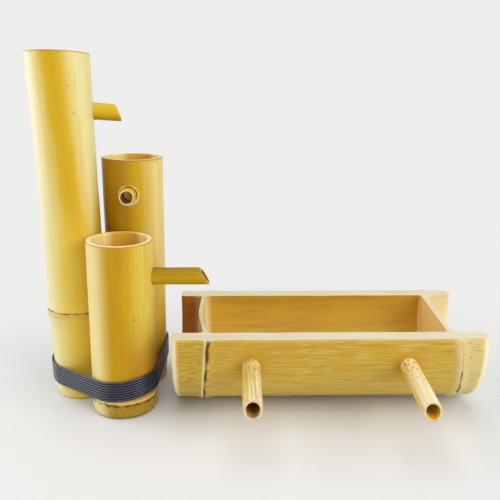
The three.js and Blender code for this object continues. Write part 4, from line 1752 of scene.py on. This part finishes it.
@dataclass(frozen=True)
class Studio:
    """Camera, floor, world and lamps.

    Attributes:
        eye: Place of the camera, in metres.
        pitch: Turn about X, in degrees.
        yaw: Turn about Z, in degrees.
        roll: Turn about the line of sight, in degrees.
        lens: Focal length for a 36 mm sensor.
        floor: Colour of the floor.
        backdrop: Colour of the wall behind and of the even light.
        lamps: The lamps.
        level: Strength of the world's light.
    """

    lamps: tuple[Lamp, ...]
    eye: tuple[float, float, float] = (-0.01667, -0.50606, 0.2902)
    pitch: float = 73.95
    yaw: float = -1.15
    roll: float = 0.187
    lens: float = 46.08
    floor: str = "#d9d9da"
    backdrop: str = "#eeeeec"
    level: float = 0.3

    def build(self) -> None:
        """Set up the camera, the floor, the world and the lamps."""
        camera = bpy.data.cameras.new("camera")
        camera.lens, camera.sensor_width, camera.clip_start = self.lens, 36.0, 0.01
        seen = bpy.data.objects.new("camera", camera)
        turn = (
            Matrix.Rotation(math.radians(self.yaw), 4, "Z")
            @ Matrix.Rotation(math.radians(self.pitch), 4, "X")
            @ Matrix.Rotation(math.radians(self.roll), 4, "Z")
        )
        seen.matrix_world = Matrix.Translation(self.eye) @ turn
        bpy.context.scene.collection.objects.link(seen)
        bpy.context.scene.camera = seen
        bpy.context.scene.view_settings.view_transform = "Standard"
        for lamp in self.lamps:
            lamp.build()
        self.make_world()
        self.make_floor()

    def make_world(self) -> None:
        """Light the room evenly from all sides, and show the backdrop's colour beyond the floor."""
        t = Tree(bpy.data.worlds.new("studio"))
        strength = t.add("Math", {0: looking(t), 1: self.level}, operation="MAXIMUM")[0]
        t.feed(t.nodes["Background"], {"Color": linear(self.backdrop), "Strength": strength})
        bpy.context.scene.world = t.owner

    def make_floor(self) -> None:
        """Lay a plain painted floor that rises into a wall behind, a sheet swept along one curve.

        Away from the object the paint shows its own pale colour instead of what the lamps give it.
        """
        across = np.array([-4.0, 4.0])
        turn = np.linspace(0.0, np.pi / 2.0, 24)
        run = np.concatenate([[-3.0], 1.2 + 0.8 * np.sin(turn), [2.0]])
        rise = np.concatenate([[0.0], 0.8 * (1.0 - np.cos(turn)), [4.0]])
        points = np.stack(np.broadcast_arrays(across[None, :], run[:, None], rise[:, None]), -1)
        numbers = np.arange(points.shape[0] * 2).reshape(-1, 2)
        faces = np.stack([numbers[:-1, 0], numbers[:-1, 1], numbers[1:, 1], numbers[1:, 0]], -1)
        mesh = bpy.data.meshes.new("floor")
        mesh.from_pydata(points.reshape(-1, 3).tolist(), [], faces.tolist())
        mesh.shade_smooth()
        t = Tree(bpy.data.materials.new("painted_backdrop"))
        paint = t.nodes["Principled BSDF"]
        t.feed(paint, {"Base Color": linear(self.floor), "Roughness": 0.6})
        place = t.add("TexCoord", {})["Object"]
        away = t.add("VectorMath", {0: place, 1: (0.0, -0.1, 0.0)}, operation="DISTANCE")["Value"]
        back = t.add("MapRange", {0: away, 1: 0.15, 2: 0.5}, interpolation_type="SMOOTHSTEP")[0]
        share = t.add("Math", {0: looking(t), 1: back}, operation="MULTIPLY")[0]
        glow = t.add("Emission", {"Color": linear(self.backdrop), "Strength": 1.0})[0]
        mixed = t.add("MixShader", {0: share, 1: paint.outputs[0], 2: glow})[0]
        t.feed(t.nodes["Material Output"], {"Surface": mixed})
        mesh.materials.append(t.owner)
        floor = bpy.data.objects.new("floor", mesh)
        bpy.context.scene.collection.objects.link(floor)


def main() -> None:
    """Build the studio, the culms with their spouts, the lashing and the trough with its outlets."""
    logging.basicConfig(level=logging.INFO, format="%(name)s: %(message)s")
    Studio(
        lamps=(
            Lamp("right_window", (1.05, -0.75, 0.75), target=(0.0, 0.0, 0.15), size=1.1, power=14.6),
            Lamp("left_window", (-1.25, 0.0, 0.6), target=(0.0, 0.0, 0.15), size=1.3, power=14.5),
            Lamp("ceiling", (0.0, -0.1, 1.7), target=(0.0, 0.0, 0.1), size=1.5, power=12.6),
            Lamp("low_front", (0.25, -1.5, 0.2), target=(0.05, 0.0, 0.05), size=1.4, power=5.6),
        )
    ).build()

    spouts = (
        Spout(
            "tall_spout", "spout_skin", seat=(-138.71546, 51.02675, 252.9), bearing=16.46, droop=5.0,
            radius=7.25, wall=2.3, bevel=6.4, reach=24.16, rooted=6.5, seed=41,
        ),
        Spout(
            "middle_spout", "spout_skin", seat=(-110.65438, 38.14464, 182.6), bearing=-90.45, droop=0.0,
            radius=7.0, wall=2.1, bevel=3.5, reach=11.62, rooted=6.6, seed=42,
        ),
        Spout(
            "short_spout", "spout_skin", seat=(-87.63564, 8.86486, 119.5), bearing=0.0, droop=0.0,
            radius=7.4, wall=2.4, bevel=9.0, reach=47.87, rooted=6.5, seed=43,
        ),
    )
    outlets = tuple(
        Spout(
            name, "outlet_skin", seat=(x, -25.7012, 51.4), bearing=-90.0, droop=droop, radius=7.75,
            wall=2.75, bevel=5.8, reach=71.8, rooted=16.0, seed=seed, facets=(9, 0.35), worn=0.3,
            crack=crack, fit=0.06,
        )
        for name, x, droop, seed, crack in (
            ("trough_spout_left", -5.86702, 0.0, 51, -140.0),
            ("trough_spout_right", 125.13298, 2.0, 52, None),
        )
    )
    tall_spout, middle_spout, short_spout = spouts
    feed_frame = np.eye(4)
    feed_frame[:3, 3] = (-161.0, 41.22, 79.0)
    feed = cylinder(6.0, -12.0, 12.0, feed_frame)
    tall = Culm(
        length=300.0, girths=((0.0, 25.4), (64.0, 25.8), (98.0, 25.4), (190.0, 25.2), (300.0, 26.4)),
        wall=4.5, knuckles=(Knuckle(79.0, 1.9, 14.0, 82.4),), foot_round=(2.2, 4.5), top_round=(0.5, 0.6),
        seed=3, name="tall_culm", foot=(-159.84836, 40.1006), lean=(-0.0146, 0.0142), cut=(-0.012, -0.083),
        spout=tall_spout, patches={
            # Left flank at 190 degrees: painted reflection of the bright room, pale, fuller towards the
            # top. Lower right at 14 degrees: painted shade and reflection of the middle culm.
            "painted_sheen": Patch(190.0, 52.0, 80.0, 200.0, 0.25), "patch": Patch(14.0, 56.0, 214.0, 150.0),
            # Lower front and right at -40 degrees: gold that keeps the painted reflection on the right
            # flank to the upper half
            "low": Patch(-40.0, 94.0, 200.0, 110.0), "shade": Patch(86.0, 45.0),
        }, extra=[feed, arch_cutter((-159.84836, 40.1006), 115.0, 13.0, 10.0)],
    )
    middle = Culm(
        length=212.5, girths=((0.0, 26.5), (213.0, 27.1)), wall=4.6,
        knuckles=(Knuckle(16.0, 0.5, 6.0, 16.0),),
        foot_round=(2.2, 4.5), top_round=(0.5, 0.6), seed=5, name="middle_culm",
        foot=(-112.24844, 63.1313), lean=(0.0099, 0.0111), cut=(-0.0099, -0.0111), spout=middle_spout,
        # Lower right at -20 degrees: gold in place of the pale painted reflection lower down
        patches={"patch": Patch(-20.0, 70.0, 150.0, 60.0), "shade": Patch(83.0, 46.0)},
    )
    short = Culm(
        length=151.7, girths=((0.0, 28.2), (60.0, 28.1), (152.0, 27.6)), wall=4.5,
        knuckles=(Knuckle(15.0, 0.5, 6.0, 12.6),), foot_round=(2.4, 4.5), top_round=(0.5, 0.6), seed=9,
        name="short_culm", foot=(-116.66702, 7.44281), lean=(0.0105, 0.0119), cut=(-0.0105, -0.0119),
        spout=short_spout, scar_width=1.3,
        patches={
            # Lower right at -30 degrees: painted shade over the pale flank lower down. Left flank at 195
            # degrees: painted reflection of the bright room, pale.
            "patch": Patch(-30.0, 64.0, 100.0, 34.0), "painted_sheen": Patch(195.0, 66.0),
            "shade": Patch(88.0, 44.0),
        },
    )
    trough = Trough(
        length=262.0, girths=((0.0, 61.2),), wall=14.5,
        knuckles=(
            Knuckle(29.0, 1.7, 9.0, 29.0, 29.0, -0.076, swell=1.3, pale=(-1.9, 0.8, 1.0)),
            Knuckle(239.5, 1.7, 8.0, 239.5, 22.5, 0.11, span=(-41.0, -17.0), pale=(-2.0, 3.6, 0.5)),
        ),
        foot_round=(3.0, 4.0), top_round=(3.0, 4.0), seed=11, centre=(59.63298, 34.64281, 61.6),
        rim_height=75.4, outlets=outlets,
        webs=(
            Web(19.9, 3.2, (3.0, 4.5), 4.7, -0.065),
            Web(234.2, 3.2, (2.5, 9.0), 0.0, 0.025),
        ),
    )
    lashing = Lashing((tall, short, middle), short.foot, 142.9, float(np.hypot(-43.18134, 32.65779)))

    scar = Tint("scar", "#3d2309", 0.9, 0.7)
    # Each skin's deep band and pale flanks, set by its side, angles and twist, are painted shade and
    # painted reflection
    skins = {
        "tall": BambooSkin(
            "polished_bamboo_tall", "#e0d494", "#d4ae28", "#c89e00", 0.32, (0.2, 0.1), 3.1, -50.0,
            (0.0, 22.0), (15.0, 42.0),
            (Streak(330.0, 6.0, "#c8a004", 0.2), Streak(1400.0, 24.0, "#8a5f1c", 0.18, 0.52, 0.8)),
            (
                # Gold over the lower front and right, then the pale cream painted reflection on the left
                # flank
                Tint("low", "#dfbe40", 0.9, 0.0), Tint("painted_sheen", "#e8dcc6", 0.85, 0.0),
                # Deep gold on the lower right: painted shade and reflection of the middle culm
                Tint("patch", "#c0900a", 0.85, 0.0),
                Tint("halo", "#c39a4c", 0.5, 0.3), scar, Tint("rim", "#a8733c", 0.7, 0.2),
            ),
            twist=120.0, specks=0.25,
            pits=((20.2, -15.7, 293.7), (12.0, -22.6, 274.8), (14.9, -20.9, 252.9), (-5.4, -25.0, 56.1),
                  (-0.9, -25.6, 46.4)),
        ),
        "middle": BambooSkin(
            "polished_bamboo_middle", "#dec878", "#c49c04", "#b08000", 0.32, (0.2, 0.1), 7.7, -135.0,
            (40.0, 62.0), (66.0, 98.0),
            (Streak(330.0, 6.0, "#b88c04", 0.22), Streak(1400.0, 24.0, "#7a541c", 0.2, 0.52, 0.8)),
            (
                # Gold in place of the pale painted reflection on the lower right
                Tint("patch", "#d4a824", 0.8, 0.0), Tint("foot", "#b08a3c", 0.4), scar,
                Tint("rim", "#a0653c", 0.7, 0.2),
            ),
            specks=0.25, pits=((21.0, -17.2, 210.3), (23.2, -13.9, 210.2), (1.8, -27.0, 207.7)),
        ),
        "short": BambooSkin(
            "polished_bamboo_short", "#d8bc50", "#cca418", "#ba9000", 0.34, (0.2, 0.1), 12.9, -91.0,
            (8.0, 30.0), (22.0, 50.0),
            (Streak(330.0, 6.0, "#b88e06", 0.3), Streak(1400.0, 24.0, "#865c20", 0.34, 0.5, 0.72)),
            (
                # Dark gold painted shade on the lower right
                Tint("patch", "#a87400", 0.9, 0.0), Tint("foot", "#a2821c", 0.85, 0.3),
                # Pale painted reflection on the left flank
                Tint("foot", "#7e5a20", 0.4, 0.97), Tint("painted_sheen", "#e6d498", 0.8, 0.0),
                Tint("band", "#e2cf90", 0.7, 0.2), Tint("scar", "#5c3410", 0.95, 0.5),
                Tint("edge", "#6a4a1c", 0.7, 0.5), Tint("rim", "#b07a58", 0.7, 0.2),
            ),
        ),
        # On the trough the deep band faces the front, and its paler lower front is painted light that
        # makes up for the shade there
        "trough": BambooSkin(
            "dull_bamboo_trough", "#d6b854", "#c69e34", "#b88c28", 0.48, (0.2, 0.05), 5.2, 155.0,
            (5.0, 35.0), (30.0, 75.0),
            (
                Streak(420.0, 16.0, "#a67c26", 0.35, 0.46, 0.62),
                Streak(700.0, 50.0, "#b4a62e", 0.35, 0.49, 0.6),
                Streak(900.0, 60.0, "#dcc88c", 0.3, 0.52, 0.62),
                Streak(1400.0, 30.0, "#86602a", 0.25, 0.52, 0.7),
            ),
            (
                Tint("left_end", "#a6901a", 0.8, 0.97), Tint("right_end", "#dccf98", 0.55, 0.6),
                Tint("halo", "#e8dab0", 0.8, 0.1), Tint("scar", "#3a1e08", 0.95, 0.35),
                Tint("seep", "#c08c1c", 0.7, 0.5), Tint("mouth", "#ece0b8", 0.9, 0.1),
                Tint("rim", "#dcc68c", 0.4, 0.4),
            ),
            flecks=(700.0, 100.0),
        ),
        "spout": BambooSkin(
            "polished_bamboo_spout", "#d4b22c", "#caa812", "#b08a00", 0.36, (0.16, 0.1), 8.8, 180.0,
            (30.0, 90.0), (100.0, 170.0),
            (Streak(330.0, 6.0, "#ba9200", 0.3), Streak(1400.0, 24.0, "#7a5a14", 0.25, 0.52, 0.8)),
        ),
        "dark_spout": BambooSkin(
            "polished_bamboo_dark_spout", "#c4a40e", "#bc9404", "#9a7400", 0.36, (0.16, 0.1), 9.8, 0.0,
            (30.0, 90.0), (100.0, 170.0),
            (Streak(330.0, 6.0, "#a07a00", 0.5), Streak(1400.0, 24.0, "#66490e", 0.4, 0.52, 0.8)),
        ),
        "trough_spout_left": BambooSkin(
            "whittled_bamboo_outlet", "#e2d29c", "#d4be74", "#ccae50", 0.5, (0.3, 0.1), 2.2, 60.0,
            (10.0, 40.0), (40.0, 90.0),
            (
                Streak(1100.0, 14.0, "#bc9c4c", 0.6, 0.5, 0.58),
                Streak(900.0, 20.0, "#efe8d2", 0.6, 0.5, 0.6),
                Streak(1400.0, 24.0, "#84703e", 0.4, 0.52, 0.66),
            ),
            (
                Tint("root", "#d6aa1e", 0.7, 0.9), Tint("root", "#7c5a24", 0.5, 1.0),
                Tint("crack", "#4a2f14", 0.9, 0.0),
            ),
            flecks=(1100.0, 160.0),
        ),
        "trough_spout_right": BambooSkin(
            "mottled_bamboo_outlet", "#e6d6a4", "#dcc888", "#d8a424", 0.5, (0.3, 0.1), 6.6, 96.0,
            (14.0, 44.0), (40.0, 80.0),
            (
                Streak(1100.0, 14.0, "#d0b468", 0.45, 0.5, 0.6),
                Streak(900.0, 20.0, "#f2ead6", 0.5, 0.5, 0.6),
                Streak(1400.0, 24.0, "#9a8250", 0.25, 0.52, 0.7),
            ),
            (Tint("root", "#dcae24", 0.55, 0.9), Tint("root", "#8a5c20", 0.7, 1.06)),
        ),
    }
    made = {key: finish.build() for key, finish in skins.items()}
    sawn = SawnBamboo("sawn_bamboo_rim", "#eee2b0", "#c8a468", "#e8d296").build()
    pink = SawnBamboo("sawn_bamboo_trough", "#ded6bb", "#c6ae80", "#dacaa4").build()
    # The shade tint is painted shade on the back inner wall of each culm's bore
    bore = SawnBamboo(
        "bore_wall_culm", "#f6e29a", "#dcb65c", "#ecd280", 0.6, (Tint("shade", "#d69a04", 0.9, 0.0),)
    ).build()
    basin = SawnBamboo(
        "basin_wall", "#d0a62c", "#a87c22", "#c4942c", 0.3,
        (
            # The first tint is painted shade in the small hollow left of the left web
            Tint("chamber_shade", "#b06004", 0.9, 0.0), Tint("right_room", "#e2d2a8", 0.85, 0.0),
            Tint("left_web", "#e6d496", 0.85, 0.0), Tint("right_web", "#f8d68e", 0.85, 0.0),
        ),
    ).build()
    torn = BambooSkin(
        "torn_bamboo_fibres", "#ecdca6", "#e2cc84", "#c8a040", 0.6, (0.3, 0.0), 4.4, 0.0,
        (10.0, 40.0), (60.0, 120.0),
        (Streak(900.0, 900.0, "#b08c34", 0.5), Streak(1400.0, 24.0, "#7a5420", 0.6, 0.5, 0.7)),
        # Painted shade of the open gap round the middle spout
        (Tint("gap_shade", "#5a3a10", 0.85, 0.0),),
    ).build()
    end = SawnBamboo("sawn_spout_end", "#e0c880", "#b08c50", "#d4b468").build()
    lip = SawnBamboo("whittled_lip_outlet", "#d2bf9c", "#a88a64", "#c4ab80").build()
    dark = SawnBamboo("spout_bore", "#a87c40", "#7c5430", "#98703c").build()
    # The spouts' bores: a darker brown than the culms' bores
    dark_brown_bore = SawnBamboo("spout_bore_dark_brown", "#8a5624", "#5e3814", "#7a4a1c").build()
    gold = SawnBamboo("outlet_bore_gold", "#dca830", "#9a6a24", "#c8922a").build()
    # The last colour is the painted highlight along each turn's upper shoulder
    cord = LacqueredCord("lacquered_cord", "#04061a", "#0c0f26", "#70738c").build()

    for culm, key in ((tall, "tall"), (middle, "middle"), (short, "short")):
        culm.build((made[key], sawn, bore))
    for spout in spouts:
        finish = "dark_spout" if spout is short_spout else "spout"
        spout.build((made[finish], end, dark_brown_bore))
    FrayedRing("middle_culm_frayed_ring", middle_spout, 27.0, 7.1, 9.2, 0.5, -45.0).build(torn)
    lashing.build(cord)
    trough.build((made["trough"], pink, basin))
    for outlet, hollow in zip(outlets, (dark, gold)):
        outlet.build((made[outlet.name], lip, hollow))


if __name__ == "__main__":
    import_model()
    main()
